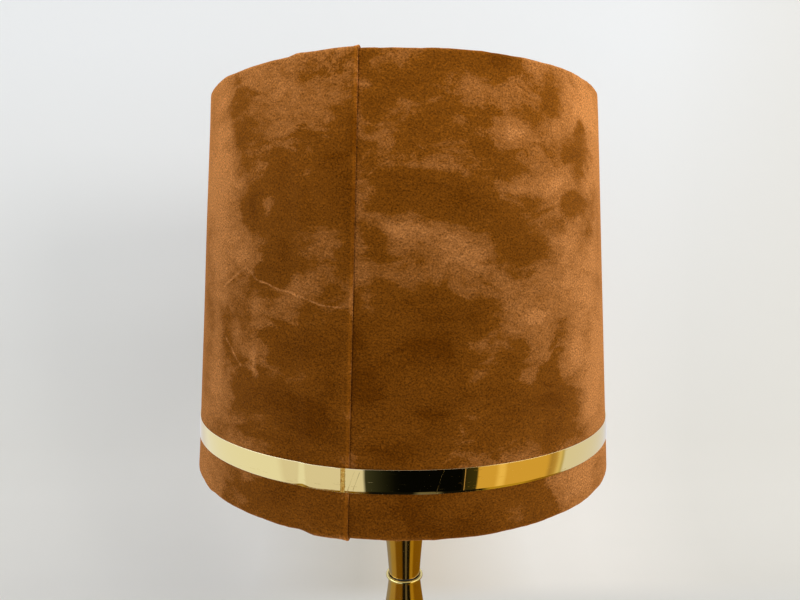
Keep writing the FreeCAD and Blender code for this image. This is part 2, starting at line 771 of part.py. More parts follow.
def wall_strip(low, high, depth, thick):
    """Plain section of the wall between two places along the slant."""
    points = [shade_point(low, depth), shade_point(high, depth),
              shade_point(high, depth + thick), shade_point(low, depth + thick)]
    return face_of([line(a, b) for a, b in zip(points, points[1:] + points[:1])])


def wire_ring(along, radius):
    """Hoop of round wire in the roll of a rim."""
    centre = shade_point(along, roll_r)
    return Part.makeTorus(centre.x, radius, at(0, centre.z), UP)


def spider_arm(radius):
    """Wire arm from the fitter ring, level at first, then down to the lower hoop."""
    level = fitter_z + FITTER_THICK * HALF
    hoop = shade_point(roll_r, roll_r)
    start = at(fitter_r - ARM_WELD, level)
    corners = [(start.x, start.z), (fitter_r + ARM_LEVEL_RUN, level, ARM_BEND_R), (hoop.x, hoop.z)]
    path = Part.Wire(rounded_edges(corners, False))
    circle = Part.Wire(Part.makeCircle(radius, start, RIGHT))
    return path.makePipe(Part.Face(circle))


def suede_cover():
    """Suede rolled over both hoops and snipped round the arms."""
    cover = turned(wrapped_wall(roll_r - SUEDE, roll_r, WRAP_TURN))
    return cover.cut(copies_around(spider_arm(ARM_R + SLIP), ARM_COUNT, QUARTER_TURN))


def suede_seam():
    """Second layer beside the folded edge, open where the band lies."""
    under_r = roll_r + SLIP
    section = wrapped_wall(under_r, under_r + SEAM_THICK, SEAM_WRAP_TURN)
    strip = turned(section, SEAM_WIDTH, seam_turn)
    low = BAND_FROM_EDGE - SLIP
    high = BAND_FROM_EDGE + BAND_H + SLIP
    depth = SLIP + SEAM_THICK + OVERRUN
    window = turned(wall_strip(low, high, -depth, depth))
    return strip.cut(window)


def shade_liner():
    """Stiff white card glued inside the suede, between the two hoops."""
    edge = roll_r + WIRE_R
    return turned(wall_strip(edge, slant - edge, SUEDE + SLIP, CARD))


def gold_band():
    """Metallised tape round the shade, lapped where its ends meet."""
    high = BAND_FROM_EDGE + BAND_H
    depth = SLIP + BAND_THICK
    ring = turned(wall_strip(BAND_FROM_EDGE, high, -depth, BAND_THICK))
    lap_turn = -QUARTER_TURN - BAND_LAP_TURN - BAND_LAP_WIDTH
    lap = turned(wall_strip(BAND_FROM_EDGE, high, -depth - BAND_THICK, BAND_THICK), BAND_LAP_WIDTH, lap_turn)
    return ring.fuse(lap)


def shade_spider():
    """Fitter ring with its arms, coped to sit against the lower hoop."""
    ring = tube(fitter_r, fitter_bore_r, fitter_z, lock_z)
    arms = copies_around(spider_arm(ARM_R), ARM_COUNT, QUARTER_TURN)
    return ring.fuse(arms).cut(wire_ring(roll_r, WIRE_R + SNUG)).removeSplitter()


# Files, one for each sub-part

os.makedirs("parts", exist_ok=True)
save("base_felt", base_felt())
save("foot_rim", foot_rim())
save("base_weight", base_weight())
save("cord_grommet", cord_grommet())
save("threaded_tube", threaded_tube())
save("bottom_washer", bottom_washer())
save("bottom_nut", bottom_nut())
save("lower_trumpet", lower_flare.shell())
save("waist_ring", waist_ring())
save("upper_trumpet", upper_flare.shell())
save("stem_cap", stem_cap())
save("locknut", locknut())
save("holder_cap", holder_cap())
save("holder_skirt", holder_skirt())
save("holder_core", holder_core())
save("thread_sleeve", thread_sleeve())
save("centre_contact", centre_contact())
save("terminal_screws", *terminal_screws())
save("lower_clamp_ring", clamp_ring(True))
save("upper_clamp_ring", clamp_ring(False))
save("bulb_glass", bulb_glass())
save("bulb_cap", bulb_cap())
save("bulb_insulator", bulb_insulator())
save("bulb_contact", bulb_contact())
save("bulb_mount", bulb_mount())
save("filament_wires", filament_wires())
save("suede_cover", suede_cover())
save("suede_seam", suede_seam())
save("shade_liner", shade_liner())
save("gold_band", gold_band())
save("lower_hoop", wire_ring(roll_r, WIRE_R))
save("upper_hoop", wire_ring(slant - roll_r, WIRE_R))
save("shade_spider", shade_spider())
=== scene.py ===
"""Brass table lamp with a suede drum shade: looks, studio and camera, laid out as a Blender add-on."""

import math

import bmesh
import bpy
from bpy.props import FloatProperty, FloatVectorProperty, IntProperty, PointerProperty
from mathutils import Matrix, Vector, noise


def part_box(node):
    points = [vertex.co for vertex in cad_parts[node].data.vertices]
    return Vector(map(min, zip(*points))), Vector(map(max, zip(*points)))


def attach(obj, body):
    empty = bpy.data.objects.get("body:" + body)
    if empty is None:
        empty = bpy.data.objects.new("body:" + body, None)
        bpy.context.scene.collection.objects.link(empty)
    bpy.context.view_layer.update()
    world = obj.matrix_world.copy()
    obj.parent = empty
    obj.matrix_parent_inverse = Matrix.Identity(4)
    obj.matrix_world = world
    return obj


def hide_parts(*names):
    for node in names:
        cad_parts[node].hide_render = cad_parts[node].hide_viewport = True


bl_info = {
    "name": "Suede shade lamp",
    "version": (1, 0, 0),
    "blender": (4, 5, 0),
    "location": "3D View > Sidebar > Lamp",
    "description": "Dresses the packed lamp in suede and brass and sets it in a plain studio",
    "category": "Object",
}

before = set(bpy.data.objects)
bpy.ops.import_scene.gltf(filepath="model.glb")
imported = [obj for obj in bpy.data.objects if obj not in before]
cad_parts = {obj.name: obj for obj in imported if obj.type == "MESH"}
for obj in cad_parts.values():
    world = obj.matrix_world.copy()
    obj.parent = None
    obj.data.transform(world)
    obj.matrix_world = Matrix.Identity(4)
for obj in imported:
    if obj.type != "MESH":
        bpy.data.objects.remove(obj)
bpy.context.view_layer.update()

FULL = 2 * math.pi
QUARTER = math.pi / 2
ORIGIN = (0, 0, 0)
Y_AXIS = (0, 1, 0)
Z_AXIS = (0, 0, 1)
VERT, EDGE, FACE = bmesh.types.BMVert, bmesh.types.BMEdge, bmesh.types.BMFace


def low_of(node):
    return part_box(node)[0].z


def high_of(node):
    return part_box(node)[1].z


# Settings that a user would change

class LampShadeSettings(bpy.types.PropertyGroup):
    """Sizes and colours of the suede shade."""
    bottom_radius: FloatProperty(
        name="Bottom radius", description="Suede face at the lower rim", default=0.150, unit="LENGTH")
    top_radius: FloatProperty(
        name="Top radius", description="Suede face at the upper rim", default=0.1356, unit="LENGTH")
    height: FloatProperty(
        name="Height", description="Shade from rim to rim", default=0.254, unit="LENGTH")
    roll: FloatProperty(
        name="Rim roll", description="Radius of the suede rolled round a hoop", default=0.0031, unit="LENGTH")
    suede: FloatProperty(
        name="Suede", description="Thickness of the suede", default=0.0009, unit="LENGTH")
    seam_lift: FloatProperty(
        name="Seam lift", description="How far the folded edge stands off the layer below", default=0.0011,
        unit="LENGTH")
    fold_bead: FloatProperty(
        name="Fold bead", description="Extra swell of the suede just before its folded edge", default=0.0005,
        unit="LENGTH")
    rim_waviness: FloatProperty(
        name="Rim waviness", description="Unevenness of the rolled rims", default=0.00045, unit="LENGTH")
    nap_dark: FloatVectorProperty(
        name="Nap, dark", description="Suede brushed away from the eye", subtype="COLOR", size=3,
        default=(0.102, 0.0275, 0.0005), min=0, max=1)
    nap_middle: FloatVectorProperty(
        name="Nap, middle", description="Suede at rest", subtype="COLOR", size=3,
        default=(0.170, 0.0525, 0.0036), min=0, max=1)
    nap_light: FloatVectorProperty(
        name="Nap, light", description="Suede brushed towards the light", subtype="COLOR", size=3,
        default=(0.385, 0.150, 0.040), min=0, max=1)
    band_from_rim: FloatProperty(
        name="Band from rim", description="Gold band above the lower rim, along the wall", default=0.0254,
        unit="LENGTH")
    band_height: FloatProperty(
        name="Band height", description="Width of the gold band", default=0.0128, unit="LENGTH")
    band_colour: FloatVectorProperty(
        name="Band", description="Metallised band", subtype="COLOR", size=3, default=(0.93, 0.74, 0.30), min=0, max=1)


class LampMetalSettings(bpy.types.PropertyGroup):
    """Sizes and colours of the stem, foot and lampholder."""
    waist_height: FloatProperty(
        name="Waist height", description="Middle of the waist ring above the table", default=0.200, unit="LENGTH")
    waist_radius: FloatProperty(
        name="Waist radius", description="Stem at the waist ring", default=0.0123, unit="LENGTH")
    brass: FloatVectorProperty(
        name="Brass", description="Polished and lacquered brass", subtype="COLOR", size=3,
        default=(0.80, 0.55, 0.19), min=0, max=1)
    plastic: FloatVectorProperty(
        name="Lampholder", description="Moulded lampholder", subtype="COLOR", size=3,
        default=(0.018, 0.017, 0.016), min=0, max=1)
    turning_steps: IntProperty(
        name="Turning steps", description="Facets round a turned piece", default=144, min=32, max=256)


class LampStudioSettings(bpy.types.PropertyGroup):
    """Light, backdrop and camera."""
    wall: FloatVectorProperty(
        name="Table", description="Painted table", subtype="COLOR", size=3,
        default=(0.80, 0.79, 0.76), min=0, max=1)
    # Painted light from above: the upper wall is painted lighter and cooler.
    wall_high_painted_light: FloatVectorProperty(
        name="Backdrop, high", description="Wall paint above the lamp", subtype="COLOR", size=3,
        default=(0.915, 0.930, 0.940), min=0, max=1)
    key_power: FloatProperty(
        name="Key light", description="Soft light from the right", default=36.0, unit="POWER")
    upper_power: FloatProperty(
        name="Upper light", description="Soft light from the right and above", default=16.0, unit="POWER")
    daylight: FloatProperty(
        name="Daylight", description="Even light from all sides", default=0.805, min=0, max=2)
    lens: FloatProperty(
        name="Lens", description="Focal length on a 36 mm wide sensor", default=25.534, unit="CAMERA")


# Shader helpers

def fill(tree, socket, value):
    """Links a socket to another one, or sets its value; a colour comes without its alpha."""
    if isinstance(value, bpy.types.NodeSocket):
        tree.links.new(value, socket)
    elif socket.type == "RGBA":
        socket.default_value = (*value, 1.0)
    else:
        socket.default_value = value


def add(tree, kind, inputs=None, **settings):
    """Adds a node, sets its options and fills or links its inputs."""
    item = tree.nodes.new(kind)
    for name, value in settings.items():
        setattr(item, name, value)
    for name, value in (inputs or {}).items():
        fill(tree, item.inputs[name], value)
    return item


def maths(tree, operation, *values, clamp=False):
    return add(tree, "ShaderNodeMath", dict(enumerate(values)), operation=operation, use_clamp=clamp).outputs[0]


def plus(tree, base, value, amount):
    """base + value * amount"""
    return maths(tree, "MULTIPLY_ADD", value, amount, base)


def swing(tree, base, value, amount):
    """Moves the base up and down by a noise from 0 to 1."""
    return plus(tree, base, maths(tree, "SUBTRACT", value, 0.5), amount)


def vector_maths(tree, operation, *values):
    item = add(tree, "ShaderNodeVectorMath", dict(enumerate(values)), operation=operation)
    return item.outputs["Value" if operation in ("DOT_PRODUCT", "LENGTH") else "Vector"]


def split(tree, vector):
    """Outputs X, Y and Z of a vector."""
    return add(tree, "ShaderNodeSeparateXYZ", {"Vector": vector}).outputs


def ramp(tree, factor, stops):
    """Colour by a factor from 0 to 1, through (place, colour) stops."""
    item = add(tree, "ShaderNodeValToRGB", {"Fac": factor})
    elements = item.color_ramp.elements
    while len(elements) < len(stops):
        elements.new(1.0)
    for element, (place, colour) in zip(elements, stops):
        element.position = place
        element.color = (*colour, 1.0)
    return item.outputs["Color"]


def noise_at(tree, vector, scale, detail=3.0, roughness=0.5, distortion=0.0):
    item = add(tree, "ShaderNodeTexNoise", {
        "Vector": vector, "Scale": scale, "Detail": detail, "Roughness": roughness, "Distortion": distortion})
    return item.outputs["Fac"]


def streaks(tree, vector, scales, turn, detail, roughness=0.5, distortion=0.0):
    """Noise with a scale of its own along each axis, turned about Z."""
    place = add(tree, "ShaderNodeMapping", {"Vector": vector, "Rotation": (0, 0, turn), "Scale": scales})
    return noise_at(tree, place.outputs["Vector"], 1.0, detail, roughness, distortion)


def remap(tree, value, low, high, to_low=0.0, to_high=1.0, smooth=True):
    item = add(tree, "ShaderNodeMapRange", {
        "Value": value, "From Min": low, "From Max": high, "To Min": to_low, "To Max": to_high},
        interpolation_type="SMOOTHSTEP" if smooth else "LINEAR")
    return item.outputs["Result"]


def blend_colour(tree, factor, first, second, mode="MIX"):
    sockets = {0: factor, 6: first, 7: second}
    return add(tree, "ShaderNodeMix", sockets, data_type="RGBA", blend_type=mode).outputs[2]


def bump(tree, height, distance, strength, below=None):
    inputs = {"Height": height, "Distance": distance, "Strength": strength}
    if below is not None:
        inputs["Normal"] = below
    return add(tree, "ShaderNodeBump", inputs).outputs["Normal"]


def object_coords(tree):
    return add(tree, "ShaderNodeTexCoord").outputs["Object"]


def new_material(name):
    """Material with a Principled shader; returns material, tree and shader."""
    made = bpy.data.materials.new(name)
    made.use_nodes = True
    tree = made.node_tree
    tree.nodes.clear()
    shader = add(tree, "ShaderNodeBsdfPrincipled")
    add(tree, "ShaderNodeOutputMaterial", {"Surface": shader.outputs["BSDF"]})
    return made, tree, shader


def wire(tree, shader, **inputs):
    """Fills or links the shader's inputs; an underscore stands for a space."""
    for name, value in inputs.items():
        fill(tree, shader.inputs[name.replace("_", " ")], value)


def new_group(name, inputs, outputs):
    """Empty node group with float and vector sockets; returns its tree, the sockets to read and those to fill."""
    kinds = {"f": "NodeSocketFloat", "v": "NodeSocketVector"}
    tree = bpy.data.node_groups.new(name, "ShaderNodeTree")
    for label, kind, value in inputs:
        socket = tree.interface.new_socket(name=label, in_out="INPUT", socket_type=kinds[kind])
        if value is not None:
            socket.default_value = value
    for label, kind in outputs:
        tree.interface.new_socket(name=label, in_out="OUTPUT", socket_type=kinds[kind])
    return tree, tree.nodes.new("NodeGroupInput").outputs, tree.nodes.new("NodeGroupOutput").inputs


def use_group(tree, name, build, inputs):
    """Adds a shared node group, which is built at its first use."""
    group = bpy.data.node_groups.get(name) or build(name)
    return add(tree, "ShaderNodeGroup", inputs, node_tree=group).outputs


def speckle_group(name):
    """Fine even grain as a height, with a slow unevenness as a mask."""
    tree, given, result = new_group(
        name, [("Vector", "v", None), ("Grain", "f", 900.0), ("Cloud", "f", 18.0)], [("Height", "f"), ("Mask", "f")])
    fill(tree, result["Height"], noise_at(tree, given["Vector"], given["Grain"], 4.0, 0.6))
    cloud = noise_at(tree, given["Vector"], given["Cloud"], 4.0, 0.55)
    fill(tree, result["Mask"], remap(tree, cloud, 0.35, 0.68))
    return tree


def turned_lines_group(name):
    """Hair lines that run round a turned or spun piece."""
    tree, given, result = new_group(name, [("Vector", "v", None), ("Lines", "f", 2500.0)], [("Height", "f")])
    height = maths(tree, "MULTIPLY", split(tree, given["Vector"])["Z"], given["Lines"])
    wander = maths(tree, "MULTIPLY", noise_at(tree, given["Vector"], 12.0, 2.0), 3.0)
    place = add(tree, "ShaderNodeCombineXYZ", {"X": wander, "Z": height}).outputs["Vector"]
    fill(tree, result["Height"], noise_at(tree, place, 1.0, 3.0, 0.7))
    return tree


def stroke_group(name):
    """Mask of a line between two places, fading to nothing over its half width."""
    tree, given, result = new_group(name, [
        ("Vector", "v", None), ("Start", "v", None), ("End", "v", None), ("Half Width", "f", 0.001)], [("Mask", "f")])
    away = vector_maths(tree, "SUBTRACT", given["Vector"], given["Start"])
    whole = vector_maths(tree, "SUBTRACT", given["End"], given["Start"])
    part = maths(tree, "DIVIDE", vector_maths(tree, "DOT_PRODUCT", away, whole),
                 vector_maths(tree, "DOT_PRODUCT", whole, whole), clamp=True)
    nearest = add(tree, "ShaderNodeVectorMath", {"Vector": whole, "Scale": part}, operation="SCALE").outputs["Vector"]
    distance = vector_maths(tree, "LENGTH", vector_maths(tree, "SUBTRACT", away, nearest))
    share = maths(tree, "DIVIDE", distance, given["Half Width"])
    fill(tree, result["Mask"], remap(tree, share, 0.0, 1.0, 1.0, 0.0))
    return tree


def stroke_mask(tree, place, strokes, mask):
    """The stronger of a mask and the strokes, given as start, end and half width."""
    for start, end, half in strokes:
        line = use_group(tree, "stroke", stroke_group, {
            "Vector": place, "Start": start, "End": end, "Half Width": half})
        mask = maths(tree, "MAXIMUM", mask, line["Mask"])
    return mask


def shaded(colour, factor, lift=0.0):
    return tuple(min(1.0, channel * factor + lift) for channel in colour)


def grained_material(name, grain, cloud):
    """Material on object coordinates; returns material, tree, shader, coordinates, grain height and cloud mask."""
    made, tree, shader = new_material(name)
    coords = object_coords(tree)
    speckle = use_group(tree, "speckle", speckle_group, {"Vector": coords, "Grain": grain, "Cloud": cloud})
    return made, tree, shader, coords, speckle["Height"], speckle["Mask"]


def brass_material(name, colour, roughness, wear):
    """Polished brass under lacquer: turned hair lines, soft clouding and a few dull specks."""
    made, tree, shader, coords, height, mask = grained_material(name, 700.0, 22.0)
    lines = use_group(tree, "turned lines", turned_lines_group, {"Vector": coords})["Height"]
    specks = remap(tree, noise_at(tree, coords, 260.0, 2.0), 0.70, 0.78)
    tone = blend_colour(tree, maths(tree, "MULTIPLY", mask, wear), colour, shaded(colour, 0.72))
    tone = blend_colour(tree, maths(tree, "MULTIPLY", specks, wear), tone, (0.22, 0.12, 0.04))
    rough = plus(tree, plus(tree, roughness, mask, 0.05), specks, 0.25 * wear)
    relief = bump(tree, height, 0.00001, 0.2, bump(tree, lines, 0.00001, 0.35))
    wire(tree, shader, Base_Color=tone, Metallic=1.0, Roughness=rough, Normal=relief,
         Coat_Weight=0.35, Coat_Roughness=0.04)
    return made


def clouded_material(name, colours, roughness, scales, relief, share=1.0, rougher=0.0, **constant):
    """One colour clouded with another over a fine grain.

    scales: of the grain and the cloud; relief: the grain's depth and strength; share: how much of the second
    colour shows; rougher: how much roughness the clouds add.
    """
    made, tree, shader, _, height, mask = grained_material(name, *scales)
    tone = blend_colour(tree, maths(tree, "MULTIPLY", mask, share), *colours)
    rough = remap(tree, mask, 0.0, 1.0, roughness, roughness + rougher) if rougher else roughness
    wire(tree, shader, Base_Color=tone, Roughness=rough, Normal=bump(tree, height, *relief), **constant)
    return made


def moulded_material(name, colour, roughness):
    """Moulded plastic: fine orange peel, with paler and duller patches from handling."""
    return clouded_material(name, (colour, shaded(colour, 1.6, 0.01)), roughness, (450.0, 60.0), (0.00003, 0.3),
                            share=0.35, rougher=0.15)


def steel_material(name, colour, roughness):
    """Bright zinc plate with a clouded passivation."""
    return clouded_material(name, (colour, shaded(colour, 0.7)), roughness, (800.0, 90.0), (0.00002, 0.3),
                            rougher=0.12, Metallic=1.0)


def painted_wire_material(name):
    """White powder coat: faint peel and slightly yellowed patches."""
    return clouded_material(name, ((0.80, 0.80, 0.79), (0.76, 0.73, 0.66)), 0.38, (600.0, 30.0), (0.00004, 0.35))


def cast_material(name):
    """Painted cast iron: pebbled skin."""
    return clouded_material(
        name, ((0.045, 0.045, 0.047), (0.085, 0.078, 0.070)), 0.72, (380.0, 25.0), (0.0003, 0.8))


def porcelain_material(name):
    """Glazed porcelain, faintly clouded."""
    return clouded_material(name, ((0.80, 0.79, 0.75), (0.72, 0.70, 0.64)), 0.16, (500.0, 70.0), (0.00002, 0.2),
                            Coat_Weight=0.4, Coat_Roughness=0.05)


def card_material(name):
    """White lining card with a fine fibre grain and light mottling."""
    made, tree, shader, coords, height, mask = grained_material(name, 520.0, 14.0)
    fibres = streaks(tree, coords, (300.0, 300.0, 1600.0), 0.0, 3.0, 0.6)
    tone = blend_colour(tree, mask, (0.80, 0.77, 0.70), (0.74, 0.70, 0.61))
    tone = blend_colour(tree, remap(tree, fibres, 0.4, 0.7, 0.0, 0.25), tone, (0.62, 0.58, 0.50))
    relief = bump(tree, fibres, 0.00006, 0.5, bump(tree, height, 0.00004, 0.4))
    wire(tree, shader, Base_Color=tone, Roughness=0.82, Normal=relief)
    return made


def felt_material(name):
    """Dark green felt: matted fibres and lint."""
    made, tree, shader, coords, _, mask = grained_material(name, 1300.0, 40.0)
    fibres = noise_at(tree, coords, 700.0, 5.0, 0.75, 1.5)
    tone = blend_colour(tree, mask, (0.014, 0.030, 0.020), (0.030, 0.055, 0.038))
    tone = blend_colour(tree, remap(tree, fibres, 0.62, 0.75), tone, (0.09, 0.12, 0.10))
    wire(tree, shader, Base_Color=tone, Roughness=0.95, Sheen_Weight=0.35, Sheen_Roughness=0.5,
         Normal=bump(tree, fibres, 0.0003, 0.8))
    return made


def glass_material(name):
    """Clear lamp glass with the faintest draw lines and fingerprints."""
    made, tree, shader = new_material(name)
    coords = object_coords(tree)
    smear = remap(tree, noise_at(tree, coords, 55.0, 4.0, 0.6), 0.45, 0.75, 0.0, 0.06)
    draw = streaks(tree, coords, (60.0, 60.0, 4.0), 0.0, 2.0)
    wire(tree, shader, Base_Color=(0.985, 0.99, 0.99), Roughness=smear, Metallic=0.0, Transmission_Weight=1.0,
         IOR=1.5, Normal=bump(tree, draw, 0.0004, 0.25))
    return made


# Mesh helpers

def ease(value, low, high):
    share = min(max((value - low) / (high - low), 0.0), 1.0)
    return share * share * (3 - 2 * share)


def only(kind, geom):
    """The verts, edges or faces of a mixed list."""
    return [item for item in geom if isinstance(item, kind)]


def corner_loop(bm, corners, lift=0.0, closed=True):
    """Section in the XZ plane through (radius, height) or (radius, height, rounding) corners, lifted as a whole."""
    verts = [bm.verts.new((corner[0], 0, corner[1] + lift)) for corner in corners]
    pairs = list(zip(verts, verts[1:]))
    if closed:
        pairs.append((verts[-1], verts[0]))
    for pair in pairs:
        bm.edges.new(pair)
    for vert, corner in zip(verts, corners):
        if len(corner) > 2:
            bmesh.ops.bevel(bm, geom=[vert], offset=corner[2], offset_type="OFFSET", segments=5, profile=0.5,
                            affect="VERTICES", material=-1, clamp_overlap=False)


def turn(bm, steps):
    """Spins the section once round Z."""
    bmesh.ops.spin(bm, geom=bm.verts[:] + bm.edges[:], cent=ORIGIN, axis=Z_AXIS, angle=FULL, steps=steps,
                   use_merge=True)


def wire_ring(bm, radius, height, half, segments, steps):
    """Ring of round wire about Z; half is the wire's own radius."""
    place = Matrix.Translation((radius, 0, height)) @ Matrix.Rotation(QUARTER, 4, "X")
    bmesh.ops.create_circle(bm, segments=segments, radius=half, matrix=place)
    turn(bm, steps)


SHADE_TILT = math.radians(0.4)
SHADE_SHIFT = -0.0008       # metres along X
SHADE_SEAT = 0.337          # height of the fitter ring, about which the shade tilts


def hang_shade(bm):
    """Lets the shade hang a little off true on its wires; the fitter ring at the middle stays level."""
    for vert in bm.verts:
        share = ease(math.hypot(vert.co.x, vert.co.y), 0.03, 0.12)
        tilt, rise = SHADE_TILT * share, vert.co.z - SHADE_SEAT
        vert.co = (vert.co.x * math.cos(tilt) + rise * math.sin(tilt) + SHADE_SHIFT * share, vert.co.y,
                   SHADE_SEAT + rise * math.cos(tilt) - vert.co.x * math.sin(tilt))


def to_object(bm, name, material):
    """Smooth-shaded object from bm, which it frees."""
    for face in bm.faces:
        face.smooth = True
    mesh = bpy.data.meshes.new(name)
    bm.to_mesh(mesh)
    bm.free()
    mesh.materials.append(material)
    made = bpy.data.objects.new(name, mesh)
    bpy.context.scene.collection.objects.link(made)
    return made


def finish_mesh(bm, name, body, material, nodes, sharp=35.0):
    """Cleans the mesh, makes the object, hangs it on its body's empty and hides the CAD nodes that it stands for."""
    if body == "shade":
        hang_shade(bm)
    bmesh.ops.remove_doubles(bm, verts=bm.verts, dist=1e-6)
    bmesh.ops.dissolve_degenerate(bm, edges=bm.edges, dist=1e-7)
    bmesh.ops.recalc_face_normals(bm, faces=bm.faces)
    limit = math.radians(sharp)
    for edge in bm.edges:
        edge.smooth = len(edge.link_faces) != 2 or edge.calc_face_angle(0) < limit
    made = to_object(bm, name, material)
    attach(made, body)
    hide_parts(*nodes)
    return made


def turned_piece(name, corners, body, material, nodes, lift=0.0, steps=None):
    """Closed piece of revolution from one rounded section."""
    bm = bmesh.new()
    corner_loop(bm, corners, lift)
    turn(bm, steps or bpy.context.scene.lamp_metal.turning_steps)
    finish_mesh(bm, name, body, material, nodes)


THREAD_STEPS = 48           # per turn
THREAD_SECTION = ((-0.4, 0.0), (0.7, 0.28), (1.0, 0.5), (0.7, 0.72), (-0.4, 1.0))       # shares of depth and width


def helix_ridge(bm, radius, low, pitch, turns, width, depth):
    """Rounded thread ridge as a closed strip wound about Z."""
    section = [bm.verts.new((radius + depth * out, 0, low + width * up)) for out, up in THREAD_SECTION]
    bmesh.ops.spin(bm, geom=[bm.faces.new(section)], cent=ORIGIN, axis=Z_AXIS, dvec=(0, 0, pitch / THREAD_STEPS),
                   angle=FULL * turns, steps=int(THREAD_STEPS * turns), use_duplicate=False)


def dress(node, material):
    """Gives a CAD node that keeps its shape a better material."""
    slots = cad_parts[node].data.materials
    for index in range(len(slots)):
        slots[index] = material
    if not len(slots):
        slots.append(material)


def stage_material(name, colour, **light):
    """Plain paint for the studio. Seen from behind it lets everything through. Returns material, tree and shader."""
    made, tree, shader = new_material(name)
    wire(tree, shader, Base_Color=colour, Roughness=1.0, Specular_IOR_Level=0.0, **light)
    clear = add(tree, "ShaderNodeBsdfTransparent")
    back = add(tree, "ShaderNodeNewGeometry").outputs["Backfacing"]
    both = add(tree, "ShaderNodeMixShader", {0: back, 1: shader.outputs["BSDF"], 2: clear.outputs["BSDF"]})
    output = next(item for item in tree.nodes if item.type == "OUTPUT_MATERIAL")
    fill(tree, output.inputs["Surface"], both.outputs[0])
    return made, tree, shader


# Shade

SHADE_Z = 0.307                 # lower rim above the table
WRAP = math.radians(280)        # how far the suede is rolled round a hoop
RAW_EDGE = (-22.0, -27.9)       # degrees from the front at the lower and the upper rim
FOLD_EDGE = (-12.5, -11.3)
BAND_JOINT = -13.8              # degrees from the front
GLUE_END = -12.9
# The folded edge, row by row: degrees past the fold and depth below the outer face
FOLDED_ROWS = ((0, 0), (0.10, 0.0002), (0.19, 0.0006), (0.16, 0.0010), (0.02, 0.0013), (-1.6, 0.0013))


def between(pair, share):
    return pair[0] + (pair[1] - pair[0]) * share


class ShadeWall:
    """Places on the shade's wall: along the slant from the lower rim, depth inwards from the suede face."""

    def __init__(self, shade):
        self.shade = shade
        self.lean = math.atan2(shade.bottom_radius - shade.top_radius, shade.height)
        self.slant = shade.height / math.cos(self.lean)
        self.middle = (shade.bottom_radius + shade.top_radius) / 2
        self.up = (-math.sin(self.lean), math.cos(self.lean))
        self.inward = (-math.cos(self.lean), -math.sin(self.lean))

    def at(self, along, depth):
        """(radius, height) of a place."""
        return (self.shade.bottom_radius + along * self.up[0] + depth * self.inward[0],
                SHADE_Z + along * self.up[1] + depth * self.inward[1])

    def spot(self, along, depth):
        """The same place as a point above the X axis."""
        radius, height = self.at(along, depth)
        return (radius, 0, height)

    def place_of(self, radius, height):
        """(along, depth) of a point."""
        out, rise = radius - self.shade.bottom_radius, height - SHADE_Z
        return (out * self.up[0] + rise * self.up[1], out * self.inward[0] + rise * self.inward[1])

    def outward(self, along, depth):
        """Direction off the suede at a place, as (radius, height)."""
        roll = self.shade.roll
        centre = min(max(along, roll), self.slant - roll)
        away = Vector((along - centre, depth - roll)) if along != centre else Vector((0, -1))
        away.normalize()
        return (away[0] * self.up[0] + away[1] * self.inward[0], away[0] * self.up[1] + away[1] * self.inward[1])

    def on_cloth(self, degrees, share):
        """Place on the cloth's own map, in metres round and along."""
        return (math.radians(degrees) * self.middle, share * self.slant, 0.0)

    def lap_rise(self, degrees, share):
        """How far the outer layer stands off where it climbs over the raw edge below it."""
        edge = between(RAW_EDGE, share)
        return self.shade.seam_lift * ease(degrees, edge - 1.2, edge + 2.0)

    def seam_lift(self, degrees, share):
        """How far the outer layer stands off between the raw edge below it and the fold."""
        shade, fold = self.shade, between(FOLD_EDGE, share)
        off_band = abs(share * shade.height - shade.band_from_rim - shade.band_height / 2) / shade.band_height
        bead = shade.fold_bead * ease(degrees, fold - 1.5, fold - 0.5) * ease(off_band, 0.5, 0.9)
        return self.lap_rise(degrees, share) + bead

    def unevenness(self, degrees, along):
        """Slow waves of the wall and the lumps of the rolled rims."""
        angle = math.radians(degrees)
        x, y = math.cos(angle), math.sin(angle)
        slow = noise.noise(Vector((x * 2.3, y * 2.3, along * 13.0))) * 0.0003
        near_rim = 1 - ease(min(along, self.slant - along), 0.004, 0.018)
        lumps = noise.noise(Vector((x * 9.0, y * 9.0, along * 6.0 + 4.0)))
        lumps += 0.5 * noise.noise(Vector((x * 27.0, y * 27.0, along * 6.0 + 9.0)))
        return slow + near_rim * lumps * self.shade.rim_waviness

    def lay(self, bm, map_name, map_radius, start, where):
        """Moves the verts of a wound strip to their turn and stand-off, and makes its flat map in metres.

        where(vert, along) gives degrees from the front and stand-off; the map counts along from the start.
        """
        turn_layer = bm.verts.layers.float.new("turn")
        along_layer = bm.verts.layers.float.new("along")
        for vert in bm.verts:
            radius, height = math.hypot(vert.co.x, vert.co.y), vert.co.z
            along, depth = self.place_of(radius, height)
            degrees, off = where(vert, along)
            off += self.unevenness(degrees, along)
            out = self.outward(along, depth)
            radius, height = radius + out[0] * off, height + out[1] * off
            angle = math.radians(degrees)
            vert.co = (radius * math.sin(angle), -radius * math.cos(angle), height)
            vert[turn_layer] = angle
            vert[along_layer] = along - start
        flat = bm.loops.layers.uv.new(map_name)
        for face in bm.faces:
            for loop in face.loops:
                loop[flat].uv = (loop.vert[turn_layer] * map_radius, loop.vert[along_layer])


def wound_strip(bm, steps):
    """Winds the section in bm step by step about Z and keeps each column's share of the way round.

    Spare steps keep the two ends apart until the strip is laid on the wall.
    """
    spare = 30
    share = bm.verts.layers.float.new("share")
    geom = bm.verts[:] + bm.edges[:] + bm.faces[:]
    for step in range(1, steps + 1):
        made = bmesh.ops.spin(bm, geom=geom, cent=ORIGIN, axis=Z_AXIS, angle=FULL / (steps + spare), steps=1)
        geom = made["geom_last"]
        for vert in only(VERT, geom):
            vert[share] = step / steps
    return share
